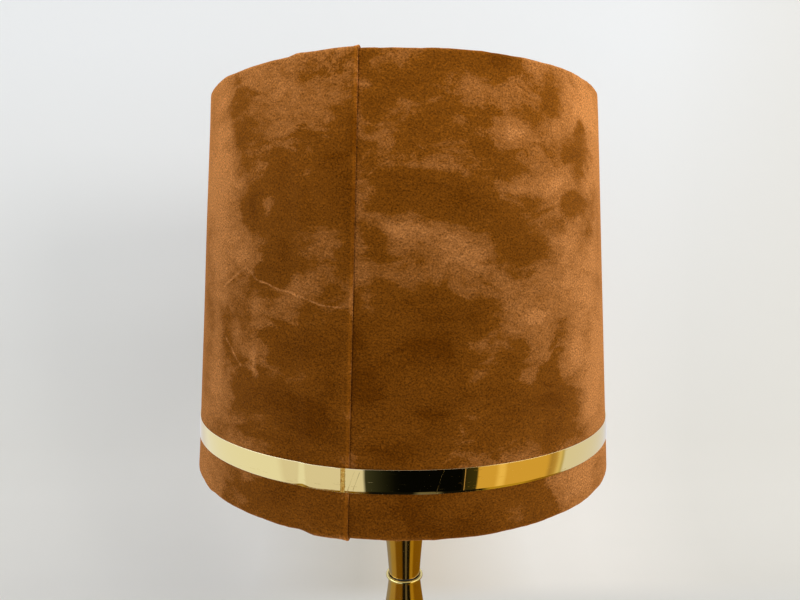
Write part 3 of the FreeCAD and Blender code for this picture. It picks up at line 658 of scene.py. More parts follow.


# Nap laid towards the light and away from it: degrees from the front, share of the height, half widths of both. The
# wide light patches from about 48 to 60 degrees also stand for painted light on the right side, where the key light
# falls.
NAP_LIGHT = (
    (-34, 0.70, 4, 0.03), (-20, 0.90, 6, 0.06), (-17, 0.84, 5, 0.04), (-25, 0.99, 8, 0.03), (-18, 0.66, 5, 0.10),
    (-30, 0.84, 5, 0.04), (13, 0.92, 5, 0.04), (28, 0.94, 6, 0.05), (21, 0.86, 5, 0.05), (48, 0.96, 9, 0.06),
    (59, 0.84, 8, 0.10), (38, 0.86, 5, 0.04), (9, 0.76, 6, 0.02), (60, 0.24, 9, 0.30), (-54, 0.93, 6, 0.05),
    (22, 0.72, 6, 0.05), (38, 0.75, 6, 0.05), (5, 0.63, 6, 0.04), (13, 0.58, 6, 0.05), (41, 0.60, 6, 0.05),
    (32, 0.52, 7, 0.04), (22, 0.50, 5, 0.04), (26, 0.42, 6, 0.03), (43, 0.41, 5, 0.07), (44, 0.36, 4, 0.05),
    (54, 0.36, 6, 0.15), (54, 0.58, 5, 0.06), (52, 0.24, 7, 0.08), (15, 0.39, 5, 0.02), (12, 0.26, 6, 0.02),
    (-24, 0.53, 9, 0.02), (-40, 0.58, 6, 0.05), (-54, 0.70, 6, 0.25), (-52, 0.32, 4, 0.10), (31, 0.39, 4, 0.05),
    (49, 0.23, 6, 0.06), (50, 0.50, 5, 0.05), (-37, 0.46, 3, 0.03), (48, 0.05, 19, 0.08), (12, 0.515, 4, 0.03),
    (-2, 0.63, 4, 0.03), (-3, 0.98, 5, 0.02), (38, 0.32, 3, 0.03), (30, 0.46, 3, 0.02),
)
NAP_DARK = (
    (-31, 0.74, 5, 0.03), (-38, 0.68, 5, 0.05), (-17, 0.78, 3, 0.02), (-44, 0.84, 4, 0.04), (-3, 0.92, 5, 0.03),
    (20, 0.99, 4, 0.015), (35, 0.91, 3, 0.03), (2, 0.74, 8, 0.02), (11, 0.70, 7, 0.03), (-4, 0.72, 4, 0.04),
    (-7, 0.60, 4, 0.05), (40, 0.80, 5, 0.04), (47, 0.88, 3, 0.02), (-8, 0.85, 3, 0.04), (6, 0.50, 6, 0.03),
    (3, 0.40, 7, 0.04), (20, 0.29, 7, 0.05), (22, 0.36, 4, 0.03), (34, 0.26, 6, 0.05), (28, 0.70, 5, 0.02),
    (46, 0.76, 4, 0.02), (-13, 0.43, 6, 0.05), (-24, 0.40, 9, 0.05), (-19, 0.22, 7, 0.04), (-10, 0.31, 5, 0.05),
    (6, 0.27, 5, 0.03), (52, 0.64, 3, 0.02), (-48, 0.40, 3, 0.05), (-42, 0.30, 3, 0.03), (-3, 0.20, 6, 0.04),
    (-20, 0.06, 18, 0.04), (45, 0.70, 4, 0.02), (23.5, 0.765, 4, 0.04), (17, 0.80, 3, 0.03), (0, 0.83, 5, 0.03),
    (-38, 0.72, 4, 0.04), (-30, 0.79, 4, 0.04), (14, 0.37, 5, 0.03), (22.5, 0.235, 5, 0.05),
    (-16.5, 0.515, 4, 0.03), (-5.3, 0.52, 4, 0.03), (-11, 0.81, 3, 0.03), (-16, 0.32, 4, 0.04),
    (-5.2, 0.28, 4, 0.03), (40, 0.725, 4, 0.03), (34, 0.19, 5, 0.03), (-22, 0.47, 3, 0.02),
)
# Pale scuffs across the nap: from end to end, places as above, and half the width in metres
SCUFFS = (
    ((-49.4, 0.512), (-40.6, 0.552), 0.0014),
    ((-40.6, 0.552), (-34.6, 0.519), 0.0014),
    ((-34.6, 0.519), (-23.9, 0.501), 0.0010),
    ((-23.9, 0.501), (-14.6, 0.475), 0.0011),
    ((-47.6, 0.392), (-40.8, 0.336), 0.0012),
    ((-36.6, 0.378), (-36.4, 0.325), 0.0042),
    ((-37.2, 0.335), (-36.0, 0.322), 0.0045),
)


def nap_and_light_bias(degrees, share):
    """Lighter or darker bias of the nap at a place, around 0, with the painted light on the right side included."""
    total = -0.45 * (1 - ease(share, 0.05, 0.13))       # darker below the band
    for places, way in ((NAP_LIGHT, 1.0), (NAP_DARK, -1.0)):
        for turn_at, height_at, half_turn, half_height in places:
            away = ((degrees - turn_at) / half_turn) ** 2 + ((share - height_at) / half_height) ** 2
            total += way * math.exp(-away)
    return total


def fold_painted_light(tree, wall, places):
    """Painted light at the folded edge: a painted highlight along its nose, and a painted shadow line just past the
    fold, on the layer below.
    """
    fold_low, fold_high = (wall.on_cloth(degrees, 0)[0] for degrees in FOLD_EDGE)
    fold = maths(tree, "MULTIPLY_ADD", places["Y"], (fold_high - fold_low) / wall.slant, fold_low)
    past = maths(tree, "SUBTRACT", places["X"], fold)
    whole = wall.on_cloth(360, 0)[0]
    painted_nose_highlight = maths(tree, "MULTIPLY", remap(tree, past, whole - 0.0019, whole - 0.0009),
                 remap(tree, past, whole - 0.0003, whole + 0.0004, 1.0, 0.0))
    painted_fold_shadow = remap(tree, past, 0.0003, 0.0013, 0.48, 0.0)
    return maths(tree, "SUBTRACT", maths(tree, "MULTIPLY", painted_nose_highlight, 0.36), painted_fold_shadow)


def suede_material(name):
    """Brushed suede: crisp and soft patches of nap laid light and dark, scuffs and curling fibres, with painted sheen
    towards the outline and a painted highlight and painted shadow at the fold.
    """
    shade = bpy.context.scene.lamp_shade
    wall = ShadeWall(shade)
    made, tree, shader = new_material(name)
    cloth = add(tree, "ShaderNodeUVMap", uv_map="cloth").outputs["UV"]
    places = split(tree, cloth)
    bias = add(tree, "ShaderNodeAttribute", attribute_name="nap_and_light_bias", attribute_type="GEOMETRY").outputs["Fac"]
    drift = add(tree, "ShaderNodeTexNoise", {"Vector": cloth, "Scale": 38.0, "Detail": 3.0, "Roughness": 0.5})
    drift = vector_maths(tree, "SUBTRACT", drift.outputs["Color"], (0.5, 0.5, 0.5))
    rough_place = vector_maths(tree, "MULTIPLY_ADD", drift, (0.009, 0.012, 0.0), cloth)
    bent = vector_maths(tree, "MULTIPLY_ADD", drift, (0.030, 0.018, 0.0), cloth)

    # How the nap lies: wide patches, strokes, the listed biases, small patches and single fibres
    wide = streaks(tree, bent, (12.0, 19.0, 1.0), 0.35, 2.0)
    strokes = streaks(tree, bent, (26.0, 62.0, 1.0), -0.45, 3.0, 0.55, 0.5)
    small = streaks(tree, bent, (60.0, 110.0, 1.0), 0.5, 3.0, 0.6, 0.8)
    fibres = streaks(tree, rough_place, (800.0, 1250.0, 1.0), 0.7, 1.5, 0.5, 0.9)
    patch = plus(tree, plus(tree, plus(tree, 0.085, strokes, 0.25), wide, 0.58), bias, 0.10)
    patch = swing(tree, swing(tree, patch, small, 0.10), fibres, 0.05)

    # Brightness from 0 to 1: three steps with edges now soft, now crisp, a slow rise, mottling and scuffs
    softness = remap(tree, noise_at(tree, cloth, 30.0, 1.0), 0.38, 0.62, 0.02, 0.08)
    lit = remap(tree, patch, 0.32, 0.72, 0.0, 0.4)
    for level in (0.40, 0.505, 0.615):
        low, high = maths(tree, "SUBTRACT", level, softness), maths(tree, "ADD", level, softness)
        lit = plus(tree, lit, remap(tree, patch, low, high), 0.2)
    mottle = streaks(tree, rough_place, (150.0, 260.0, 1.0), 0.7, 2.0)
    lit = maths(tree, "ADD", lit, remap(tree, mottle, 0.3, 0.7, -0.07, 0.07, smooth=False))
    scuffs = [(wall.on_cloth(start[0] + 360, start[1]), wall.on_cloth(end[0] + 360, end[1]), half)
              for start, end, half in SCUFFS]
    broken = remap(tree, noise_at(tree, cloth, 170.0, 3.0, 0.7), 0.36, 0.60, 0.10, 0.58)
    lit = plus(tree, lit, stroke_mask(tree, rough_place, scuffs, 0.0), broken)

    # Painted sheen: towards the outline the colour is made paler and plainer, standing for pile seen from the side
    # that catches the light
    facing = add(tree, "ShaderNodeLayerWeight", {"Blend": 0.5}).outputs["Facing"]
    painted_sheen = remap(tree, facing, 0.06, 0.92, smooth=False)
    rim = remap(tree, facing, 0.66, 0.94)
    kept = maths(tree, "MULTIPLY", lit, plus(tree, plus(tree, 1.0, painted_sheen, -0.15), rim, -0.65))
    lit = maths(tree, "MULTIPLY_ADD", painted_sheen, 0.38, plus(tree, kept, rim, 0.42), clamp=True)
    tone = ramp(tree, lit, [
        (0.0, tuple(shade.nap_dark)), (0.5, tuple(shade.nap_middle)), (1.0, tuple(shade.nap_light))])

    # Factor on the colour: fibres and flecks, a painted highlight and painted shadow at the fold, painted sheen
    # towards the outline, and paler towards the upper rim; hair carries the fibres together with this painted light
    fleck = noise_at(tree, cloth, 1000.0, 2.0, 0.6)
    hair = maths(tree, "ADD", remap(tree, fibres, 0.34, 0.66, 0.74, 1.26, smooth=False),
                 remap(tree, fleck, 0.3, 0.7, -0.36, 0.36, smooth=False))
    hair = maths(tree, "ADD", hair, fold_painted_light(tree, wall, places))
    hair = maths(tree, "MULTIPLY", hair, plus(tree, 1.0, painted_sheen, 0.50))
    up = maths(tree, "DIVIDE", places["Y"], wall.slant)
    level = maths(tree, "ADD", remap(tree, up, 0.50, 1.0, 1.0, 1.34), remap(tree, up, 0.0, 0.45, -0.05, 0.0))
    hair = maths(tree, "MULTIPLY", hair, level)
    grey = add(tree, "ShaderNodeCombineColor", {"Red": hair, "Green": hair, "Blue": hair}).outputs["Color"]
    tone = blend_colour(tree, 1.0, tone, grey, "MULTIPLY")
    relief = bump(tree, fibres, 0.0005, 0.8, bump(tree, lit, 0.0006, 0.35))
    wire(tree, shader, Base_Color=tone, Roughness=1.0, Specular_IOR_Level=0.02, Sheen_Weight=0.05,
         Sheen_Roughness=0.5, Sheen_Tint=(1.0, 0.74, 0.42), Normal=relief)
    return made


# Scratches on the gold band: degrees from the front, then from and to above its lower edge in metres
TAPE_SCRATCHES = ((-12.4, 0.001, 0.0115), (-11.2, 0.002, 0.011), (5.4, 0.001, 0.0125))


def band_material(name):
    """Mirror-bright metallised tape: slow ripples, fine scratches, paler and rougher edges, and glue at the joint."""
    shade = bpy.context.scene.lamp_shade
    made, tree, shader = new_material(name)
    tape = add(tree, "ShaderNodeUVMap", uv_map="tape").outputs["UV"]
    places = split(tree, tape)
    ripple = streaks(tree, tape, (22.0, 60.0, 1.0), 0.0, 2.0, 0.4)
    fine = streaks(tree, tape, (70.0, 2600.0, 1.0), 0.25, 2.0, 0.6)
    strokes = []
    for degrees, low, high in TAPE_SCRATCHES:
        around = math.radians(degrees) * shade.bottom_radius
        strokes.append(((around, low, 0.0), (around + (high - low) * 0.35, high, 0.0), 0.0004))
    marks = stroke_mask(tree, tape, strokes, remap(tree, fine, 0.66, 0.74, 0.0, 0.6))
    dust = remap(tree, noise_at(tree, tape, 1500.0, 1.0), 0.74, 0.80)
    # Both edges of the band are paler and rougher over this width.
    edge_width = 0.0006
    edge = maths(tree, "MAXIMUM", remap(tree, places["Y"], edge_width, 0.0),
                 remap(tree, places["Y"], shade.band_height - edge_width, shade.band_height))
    glue_end = math.radians(GLUE_END) * shade.bottom_radius
    beads = noise_at(tree, tape, 900.0, 2.0)
    glue = remap(tree, plus(tree, places["X"], beads, 0.0012), glue_end + 0.0007, glue_end + 0.0003)
    amber = blend_colour(tree, remap(tree, beads, 0.4, 0.6), (0.50, 0.24, 0.02), (0.70, 0.46, 0.10))
    tone = blend_colour(tree, edge, tuple(shade.band_colour), (1.0, 0.86, 0.50))
    tone = blend_colour(tree, maths(tree, "MULTIPLY", dust, 0.5), tone, (0.80, 0.72, 0.55))
    tone = blend_colour(tree, glue, tone, amber)
    rough = plus(tree, plus(tree, 0.016, marks, 0.25), edge, 0.12)
    rough = maths(tree, "MULTIPLY_ADD", maths(tree, "ADD", glue, dust), 0.3, rough, clamp=True)
    relief = bump(tree, marks, 0.00002, 0.4, bump(tree, ripple, 0.0003, 0.2))
    relief = bump(tree, maths(tree, "MULTIPLY", glue, beads), 0.0005, 0.8, relief)
    wire(tree, shader, Base_Color=tone, Metallic=plus(tree, 1.0, glue, -0.7), Roughness=rough, Normal=relief)
    return made


class LAMP_OT_suede_cover(bpy.types.Operator):
    """Suede wound round the shade, rolled over both rims and lapped at a folded seam"""
    bl_idname = "lamp.suede_cover"
    bl_label = "Suede cover"

    def execute(self, context):
        shade = context.scene.lamp_shade
        wall = ShadeWall(shade)
        roll = shade.roll
        bm = bmesh.new()
        low = bm.verts.new(wall.spot(roll, 0))
        high = bm.verts.new(wall.spot(wall.slant - roll, 0))
        face_line = bm.edges.new((low, high))
        for vert, along, wrap in ((low, roll, WRAP), (high, wall.slant - roll, -WRAP)):
            bmesh.ops.spin(bm, geom=[vert], cent=wall.spot(along, roll), axis=Y_AXIS, angle=wrap, steps=18)
        bmesh.ops.subdivide_edges(bm, edges=[face_line], cuts=47)
        share = wound_strip(bm, 300)
        hem = self.folded_edge(bm, share)
        self.lay(bm, wall, share, hem)
        made = finish_mesh(bm, "suede_cover_piece", "shade", suede_material("brushed suede"),
                           ("suede_cover", "suede_seam"), sharp=80.0)
        solid = made.modifiers.new("thickness", "SOLIDIFY")
        solid.thickness = shade.suede
        solid.offset = -1.0
        solid.use_even_offset = True
        return {"FINISHED"}

    def folded_edge(self, bm, share):
        """Adds the rows that turn under at the last column, numbered on their own layer."""
        hem = bm.verts.layers.float.new("hem")
        edges = [edge for edge in bm.edges if all(vert[share] == 1.0 for vert in edge.verts)]
        for index in range(1, len(FOLDED_ROWS)):
            geom = bmesh.ops.extrude_edge_only(bm, edges=edges)["geom"]
            edges = only(EDGE, geom)
            for vert in only(VERT, geom):
                vert[hem] = index
        return hem

    def lay(self, bm, wall, share, hem):
        """Puts each column at its turn, with the lap and the fold, and marks how the nap lies there."""
        bias = bm.verts.layers.float.new("nap_and_light_bias")

        def where(vert, along):
            part = min(max(along / wall.slant, 0), 1)
            first, last = between(RAW_EDGE, part), 360 + between(FOLD_EDGE, part)
            past_fold, sunk = FOLDED_ROWS[round(vert[hem])]
            degrees = first + (last - first) * vert[share] + past_fold
            vert[bias] = nap_and_light_bias((degrees + 180) % 360 - 180, part)
            return degrees, wall.seam_lift(degrees - 360, part) - sunk

        wall.lay(bm, "cloth", wall.middle, 0.0, where)


class LAMP_OT_gold_band(bpy.types.Operator):
    """Gold band round the shade, over the seam, with its lapped joint and a bead of glue"""
    bl_idname = "lamp.gold_band"
    bl_label = "Gold band"

    def execute(self, context):
        shade = context.scene.lamp_shade
        wall = ShadeWall(shade)
        low, high = shade.band_from_rim, shade.band_from_rim + shade.band_height
        gap, thick, round_edge = 0.0001, 0.0004, 0.00012
        bm = bmesh.new()
        corner_loop(bm, [wall.at(low, -gap), (*wall.at(low, -gap - thick), round_edge),
                         (*wall.at(high, -gap - thick), round_edge), wall.at(high, -gap)])
        bmesh.ops.contextual_create(bm, geom=bm.edges[:])
        share = wound_strip(bm, 420)

        def where(vert, along):
            degrees = BAND_JOINT - 1.0 + 361.0 * vert[share]
            return degrees, self.stand_off(wall, degrees, along / wall.slant)

        wall.lay(bm, "tape", shade.bottom_radius, low, where)
        finish_mesh(bm, "gold_band_piece", "shade", band_material("gold band"), ("gold_band",), sharp=50.0)
        return {"FINISHED"}

    def stand_off(self, wall, degrees, part):
        """Band's height off the plain wall: over the seam, down its fold, and over its own start."""
        fold = between(FOLD_EDGE, part)
        fall = wall.shade.seam_lift * (1 - ease(degrees, fold - 0.1, fold + 11.0)) if degrees < 90 else 0
        over_start = 0.0005 * ease(degrees, 360 + BAND_JOINT - 1.9, 360 + BAND_JOINT - 1.1)
        return max(wall.lap_rise(degrees - 360, part), fall) + over_start


class LAMP_OT_shade_inside(bpy.types.Operator):
    """Lining card, hoops and the spider that carries the shade"""
    bl_idname = "lamp.shade_inside"
    bl_label = "Shade lining and frame"

    def execute(self, context):
        shade = context.scene.lamp_shade
        wall = ShadeWall(shade)
        edge, face, back = 0.0049, 0.0013, 0.0019
        turned_piece("lining_card", [wall.at(edge, face), wall.at(wall.slant - edge, face),
                                     wall.at(wall.slant - edge, back), wall.at(edge, back)],
                     "shade", card_material("lining card"), ("shade_liner",), steps=240)
        coat = painted_wire_material("white wire")
        for name, along in (("lower_hoop", shade.roll), ("upper_hoop", wall.slant - shade.roll)):
            bm = bmesh.new()
            wire_ring(bm, *wall.at(along, shade.roll), 0.0018, 14, 180)
            finish_mesh(bm, name + "_wire", "shade", coat, (name,))
        self.spider(wall, coat)
        return {"FINISHED"}

    def spider(self, wall, coat):
        """Fitter ring and three arms that run out level, bend down and end at the lower hoop."""
        half, wire_half = 0.001, 0.0016
        level = high_of("lower_clamp_ring") + half
        arm_start, bend = 0.0274, 0.012
        bm = bmesh.new()
        corner_loop(bm, [(0.0203, -half, 0.0003), (0.029, -half, 0.0004), (0.029, half, 0.0004),
                         (0.0203, half, 0.0003)], level)
        turn(bm, 96)
        ring = set(bm.verts)
        hoop = Vector(wall.spot(wall.shade.roll, wall.shade.roll))
        corner = Vector((0.037, 0, level))
        slope = math.atan2(corner.z - hoop.z, hoop.x - corner.x)
        reach = bend * math.tan(slope / 2)
        place = Matrix.Translation((arm_start, 0, level)) @ Matrix.Rotation(QUARTER, 4, "Y")
        made = bmesh.ops.create_circle(bm, cap_ends=True, segments=14, radius=wire_half, matrix=place)
        face = self.pull(bm, made["verts"][0].link_faces[:], Vector((corner.x - reach - arm_start, 0, 0)))
        spun = bmesh.ops.spin(bm, geom=face, cent=(corner.x - reach, 0, level - bend), axis=Y_AXIS,
                              angle=slope, steps=8)
        start = corner + Vector((math.cos(slope), 0, -math.sin(slope))) * reach
        to_hoop = hoop - start
        self.pull(bm, only(FACE, spun["geom_last"]), to_hoop - to_hoop.normalized() * 0.0012)
        arm = [vert for vert in bm.verts if vert not in ring]
        arm_geom = arm + list({edge for vert in arm for edge in vert.link_edges}) + list(
            {face for vert in arm for face in vert.link_faces})
        bmesh.ops.rotate(bm, verts=arm, cent=ORIGIN, matrix=Matrix.Rotation(QUARTER, 3, "Z"))
        for index in (1, 2):
            copy = bmesh.ops.duplicate(bm, geom=arm_geom)
            bmesh.ops.rotate(bm, verts=only(VERT, copy["geom"]), cent=ORIGIN,
                             matrix=Matrix.Rotation(index * FULL / 3, 3, "Z"))
        finish_mesh(bm, "spider_wires", "shade", coat, ("shade_spider",))

    def pull(self, bm, faces, move):
        """Extrudes the faces by a move and gives the new ones."""
        geom = bmesh.ops.extrude_face_region(bm, geom=faces)["geom"]
        bmesh.ops.translate(bm, vec=move, verts=only(VERT, geom))
        bmesh.ops.delete(bm, geom=faces, context="FACES_ONLY")
        return only(FACE, geom)


# Stem and foot

# Slopes of the trumpets at the waist, where their arcs meet and at the wide end, as shares of the straight line's
LOWER_SLOPES = (0.28, 0.98, 2.56)
UPPER_SLOPES = (0.46, 1.05, 1.575)


def flare_arcs(start, end, slope_shares):
    """Centres and turns of the two arcs from the waist to the wide end."""
    way = math.copysign(1, end[1] - start[1])
    rise, spread = abs(end[1] - start[1]), end[0] - start[0]
    turns = [math.atan2(spread, rise) * share for share in slope_shares]
    rises = [math.sin(b) - math.sin(a) for a, b in zip(turns, turns[1:])]
    spreads = [math.cos(a) - math.cos(b) for a, b in zip(turns, turns[1:])]
    whole = rises[0] * spreads[1] - rises[1] * spreads[0]
    first_r = (rise * spreads[1] - spread * rises[1]) / whole
    second_r = (spread * rises[0] - rise * spreads[0]) / whole
    first = Vector((start[0], 0, start[1])) + first_r * Vector((math.cos(turns[0]), 0, -way * math.sin(turns[0])))
    second = first + (second_r - first_r) * Vector((math.cos(turns[1]), 0, -way * math.sin(turns[1])))
    return [(first, way * (turns[1] - turns[0])), (second, way * (turns[2] - turns[1]))]


class LAMP_OT_brass_stem(bpy.types.Operator):
    """Hourglass stem: two spun trumpets, the ring at the waist, the cap and the locknut"""
    bl_idname = "lamp.brass_stem"
    bl_label = "Brass stem"

    def execute(self, context):
        metal = context.scene.lamp_metal
        brass = brass_material("polished brass", tuple(metal.brass), 0.11, 0.35)
        waist, radius = metal.waist_height, metal.waist_radius
        foot_end, cap_end = (0.0835, 0.018), (0.0253, waist + 0.098)
        self.trumpet("lower_trumpet", (radius, waist - 0.0008), foot_end, LOWER_SLOPES, brass)
        self.trumpet("upper_trumpet", (radius, waist + 0.0023), cap_end, UPPER_SLOPES, brass)
        bm = bmesh.new()
        wire_ring(bm, 0.0132, waist, 0.0014, 24, metal.turning_steps)
        ring = brass_material("ring brass", (0.90, 0.74, 0.27), 0.08, 0.3)
        finish_mesh(bm, "waist_ring_bead", "base", ring, ("waist_ring",))
        # The neck inside the ring is painted near black: painted shade in the gap above the ring bead.
        hole, neck, half = 0.0053, 0.0111, 0.0048
        turned_piece("waist_ring_neck", [
            (hole, -half), (neck, -half, 0.0004), (neck, half, 0.0004), (hole, half)],
            "base", cast_material("painted shade neck"), ("waist_ring",), waist)
        top = high_of("stem_cap")
        turned_piece("stem_cap_plate", [
            (hole, -0.0012), (0.0224, -0.0012), (0.0224, -0.0042), (0.0236, -0.0042), (0.0236, -0.0012),
            (0.0263, -0.0012, 0.0003), (0.0263, 0, 0.0006), (hole, 0)],
            "base", brass, ("stem_cap",), top)
        turned_piece("locknut_round", [(0.0051, 0), (0.009, 0, 0.0008), (0.009, 0.004, 0.0008), (0.0051, 0.004)],
                     "base", brass, ("locknut",), top)
        return {"FINISHED"}

    def trumpet(self, node, start, end, slope_shares, brass):
        """Spun shell of sheet brass, 1 mm thick, with its thickness on the inside."""
        bm = bmesh.new()
        vert = bm.verts.new((start[0], 0, start[1]))
        for centre, angle in flare_arcs(start, end, slope_shares):
            made = bmesh.ops.spin(bm, geom=[vert], cent=centre, axis=Y_AXIS, angle=angle, steps=30)
            vert = only(VERT, made["geom_last"])[0]
        turn(bm, bpy.context.scene.lamp_metal.turning_steps)
        bmesh.ops.remove_doubles(bm, verts=bm.verts, dist=1e-6)
        bmesh.ops.recalc_face_normals(bm, faces=bm.faces)
        outward = sum(face.normal.xy.dot(face.calc_center_median().xy) for face in bm.faces)
        if outward < 0:
            bmesh.ops.reverse_faces(bm, faces=bm.faces)
        bmesh.ops.solidify(bm, geom=bm.faces[:], thickness=0.001)
        finish_mesh(bm, node + "_spun", "base", brass, (node,))


class LAMP_OT_foot(bpy.types.Operator):
    """Turned foot ring, felt, cast weight with its nut and washer, and the bush for the cord"""
    bl_idname = "lamp.foot"
    bl_label = "Foot"

    def execute(self, context):
        felt_top, felt_radius = 0.002, 0.085
        turned_piece("foot_ring", [
            (0.084, felt_top), (0.088, felt_top, 0.002), (0.088, 0.018, 0.0045), (0.079, 0.018), (0.079, 0.020),
            (0.070, 0.020), (0.070, 0.014), (0.084, 0.014)],
            "base", bpy.data.materials["polished brass"], ("foot_rim",), steps=200)
        turned_piece("felt_disc", [
            (0.0, 0.0), (felt_radius, 0.0, 0.0004), (felt_radius, felt_top, 0.0004), (0.0, felt_top)],
            "base", felt_material("green felt"), ("base_felt",), steps=160)
        dress("base_weight", cast_material("cast iron"))
        steel = steel_material("zinc plate", (0.60, 0.60, 0.61), 0.32)
        for node in ("bottom_nut", "bottom_washer", "threaded_tube", "terminal_screws"):
            dress(node, steel)
        dress("cord_grommet", moulded_material("black bush", (0.015, 0.015, 0.015), 0.5))
        return {"FINISHED"}


class LAMP_OT_lampholder(bpy.types.Operator):
    """Moulded lampholder with its thread, porcelain core, contacts and the two clamp rings"""
    bl_idname = "lamp.lampholder"
    bl_label = "Lampholder"

    def execute(self, context):
        plastic = moulded_material("lampholder plastic", tuple(context.scene.lamp_metal.plastic), 0.22)
        outer, skirt, inner = 0.0206, 0.0194, 0.0174
        turned_piece("holder_cap_dome", [
            (0.0051, 0), (0.011, 0, 0.0006), (outer, 0.012, 0.003), (outer, 0.021, 0.0006), (inner, 0.021),
            (inner, 0.016), (0.0159, 0.016), (0.0159, 0.012, 0.0015), (0.010, 0.0022), (0.008, 0.0022),
            (0.008, 0.009), (0.0051, 0.009)],
            "base", plastic, ("holder_cap",), low_of("holder_cap"))
        low, top = low_of("holder_skirt"), high_of("holder_skirt")
        bm = bmesh.new()
        corner_loop(bm, [
            (inner, low), (outer, low, 0.0006), (outer, low + 0.002, 0.0006), (skirt, low + 0.002),
            (skirt, top, 0.0012), (0.014, top, 0.0006), (0.014, top - 0.009), (0.0154, top - 0.009),
            (0.0154, top - 0.002), (inner, top - 0.002)])
        turn(bm, context.scene.lamp_metal.turning_steps)
        helix_ridge(bm, skirt, low + 0.0035, pitch=0.0024, turns=10.6, width=0.0016, depth=0.00027)
        finish_mesh(bm, "holder_skirt_threaded", "base", plastic, ("holder_skirt",))
        brass = bpy.data.materials["polished brass"]
        for node, material in (
                ("lower_clamp_ring", plastic), ("upper_clamp_ring", plastic),
                ("holder_core", porcelain_material("porcelain")), ("thread_sleeve", brass), ("centre_contact", brass)):
            dress(node, material)
        return {"FINISHED"}


class LAMP_OT_candle_bulb(bpy.types.Operator):
    """Clear candle bulb: glass, threaded cap, glass mount and a coiled filament"""
    bl_idname = "lamp.candle_bulb"
    bl_label = "Candle bulb"

    def execute(self, context):
        neck = high_of("bulb_cap")
        sunk = 0.006        # how far the glass reaches down into the cap
        glass = glass_material("bulb glass")
        self.envelope(glass, neck, sunk)
        self.screw_cap(neck)
        dress("bulb_insulator", moulded_material("dark cap glass", (0.02, 0.016, 0.02), 0.12))
        dress("bulb_contact", steel_material("solder", (0.55, 0.55, 0.54), 0.42))
        turned_piece("bulb_mount_glass", [
            (0.0101, 0), (0.0109, 0), (0.0026, 0.006, 0.003), (0.0026, 0.030, 0.0008), (0.0, 0.030), (0.0, 0.006)],
            "bulb", glass, ("bulb_mount",), neck - sunk, 64)
        self.filament(neck - sunk + 0.0303)
        return {"FINISHED"}

    def envelope(self, glass, neck, sunk):
        """Candle shape: one large arc from the neck to a small round tip."""
        belly, belly_radius = neck + 0.026, 0.0175
        side, tip = 0.0653, 0.003       # radii of the two arcs
        centre = Vector((belly_radius - side, 0, belly))
        neck_turn = math.asin((belly - neck) / side)
        tip_z = belly + math.sqrt((side - tip) ** 2 - centre.x ** 2)
        tip_turn = math.atan2(tip_z - belly, -centre.x)
        bm = bmesh.new()
        start = bm.verts.new((centre.x + side * math.cos(neck_turn), 0, neck))
        bm.edges.new((bm.verts.new((start.co.x, 0, neck - sunk)), start))
        made = bmesh.ops.spin(bm, geom=[start], cent=centre, axis=Y_AXIS, angle=-(neck_turn + tip_turn), steps=40)
        bmesh.ops.spin(bm, geom=only(VERT, made["geom_last"]), cent=(0, 0, tip_z), axis=Y_AXIS,
                       angle=-(QUARTER - tip_turn), steps=10)
        turn(bm, 96)
        bmesh.ops.remove_doubles(bm, verts=bm.verts, dist=1e-5)
        bmesh.ops.recalc_face_normals(bm, faces=bm.faces)
        bmesh.ops.solidify(bm, geom=bm.faces[:], thickness=0.0009)
        finish_mesh(bm, "bulb_envelope", "bulb", glass, ("bulb_glass",))

    def screw_cap(self, neck):
        low, side = low_of("bulb_cap"), 0.0124
        bm = bmesh.new()
        corner_loop(bm, [
            (0.0112, low), (side, low + 0.0026, 0.0006), (side, neck - 0.001, 0.0003), (0.0129, neck),
            (0.0122, neck), (0.0119, low + 0.003), (0.0108, low + 0.0005)])
        turn(bm, 120)
        helix_ridge(bm, side, low + 0.003, pitch=0.0036, turns=4.4, width=0.0030, depth=0.0006)
        metal = steel_material("bulb cap metal", (0.72, 0.72, 0.73), 0.30)
        finish_mesh(bm, "bulb_cap_threaded", "bulb", metal, ("bulb_cap",))

    def filament(self, foot):
        """Two leads and a fine coil bowed between them."""
        spread, top, loops, loop_steps = 0.0065, foot + 0.016, 52, 10
        bm = bmesh.new()
        for side in (-1, 1):
            start, end = Vector((side * 0.0013, 0, foot)), Vector((side * spread, 0, top))
            turned_to = (end - start).to_track_quat("Z", "Y").to_matrix().to_4x4()
            place = Matrix.Translation((start + end) / 2) @ turned_to
            bmesh.ops.create_cone(bm, cap_ends=True, segments=10, radius1=0.0003, radius2=0.0003,
                                  depth=(end - start).length, matrix=place)
        leads = set(bm.verts)
        place = Matrix.Translation((-spread, 0, top + 0.00035))
        made = bmesh.ops.create_circle(bm, cap_ends=True, segments=6, radius=0.00006, matrix=place)
        bmesh.ops.spin(bm, geom=made["verts"][0].link_faces[:], cent=(0, 0, top), axis=(1, 0, 0),
                       dvec=(2 * spread / (loops * loop_steps), 0, 0), angle=FULL * loops, steps=loops * loop_steps)
        for vert in bm.verts:
            if vert not in leads:
                vert.co.z += 0.003 * (1 - (vert.co.x / spread) ** 2)
        metal = steel_material("filament wire", (0.30, 0.30, 0.31), 0.35)
        finish_mesh(bm, "filament_coil", "bulb", metal, ("filament_wires",))


# Studio

PALE = (0.72, 0.73, 0.83)
BRIGHT = (0.82, 0.88, 1.04)
BLACK = (0.006, 0.006, 0.005)
DARK = (0.0018, 0.002, 0.0015)
OLIVE = (0.042, 0.046, 0.032)
GOLDEN = (0.67, 0.42, 0.09)
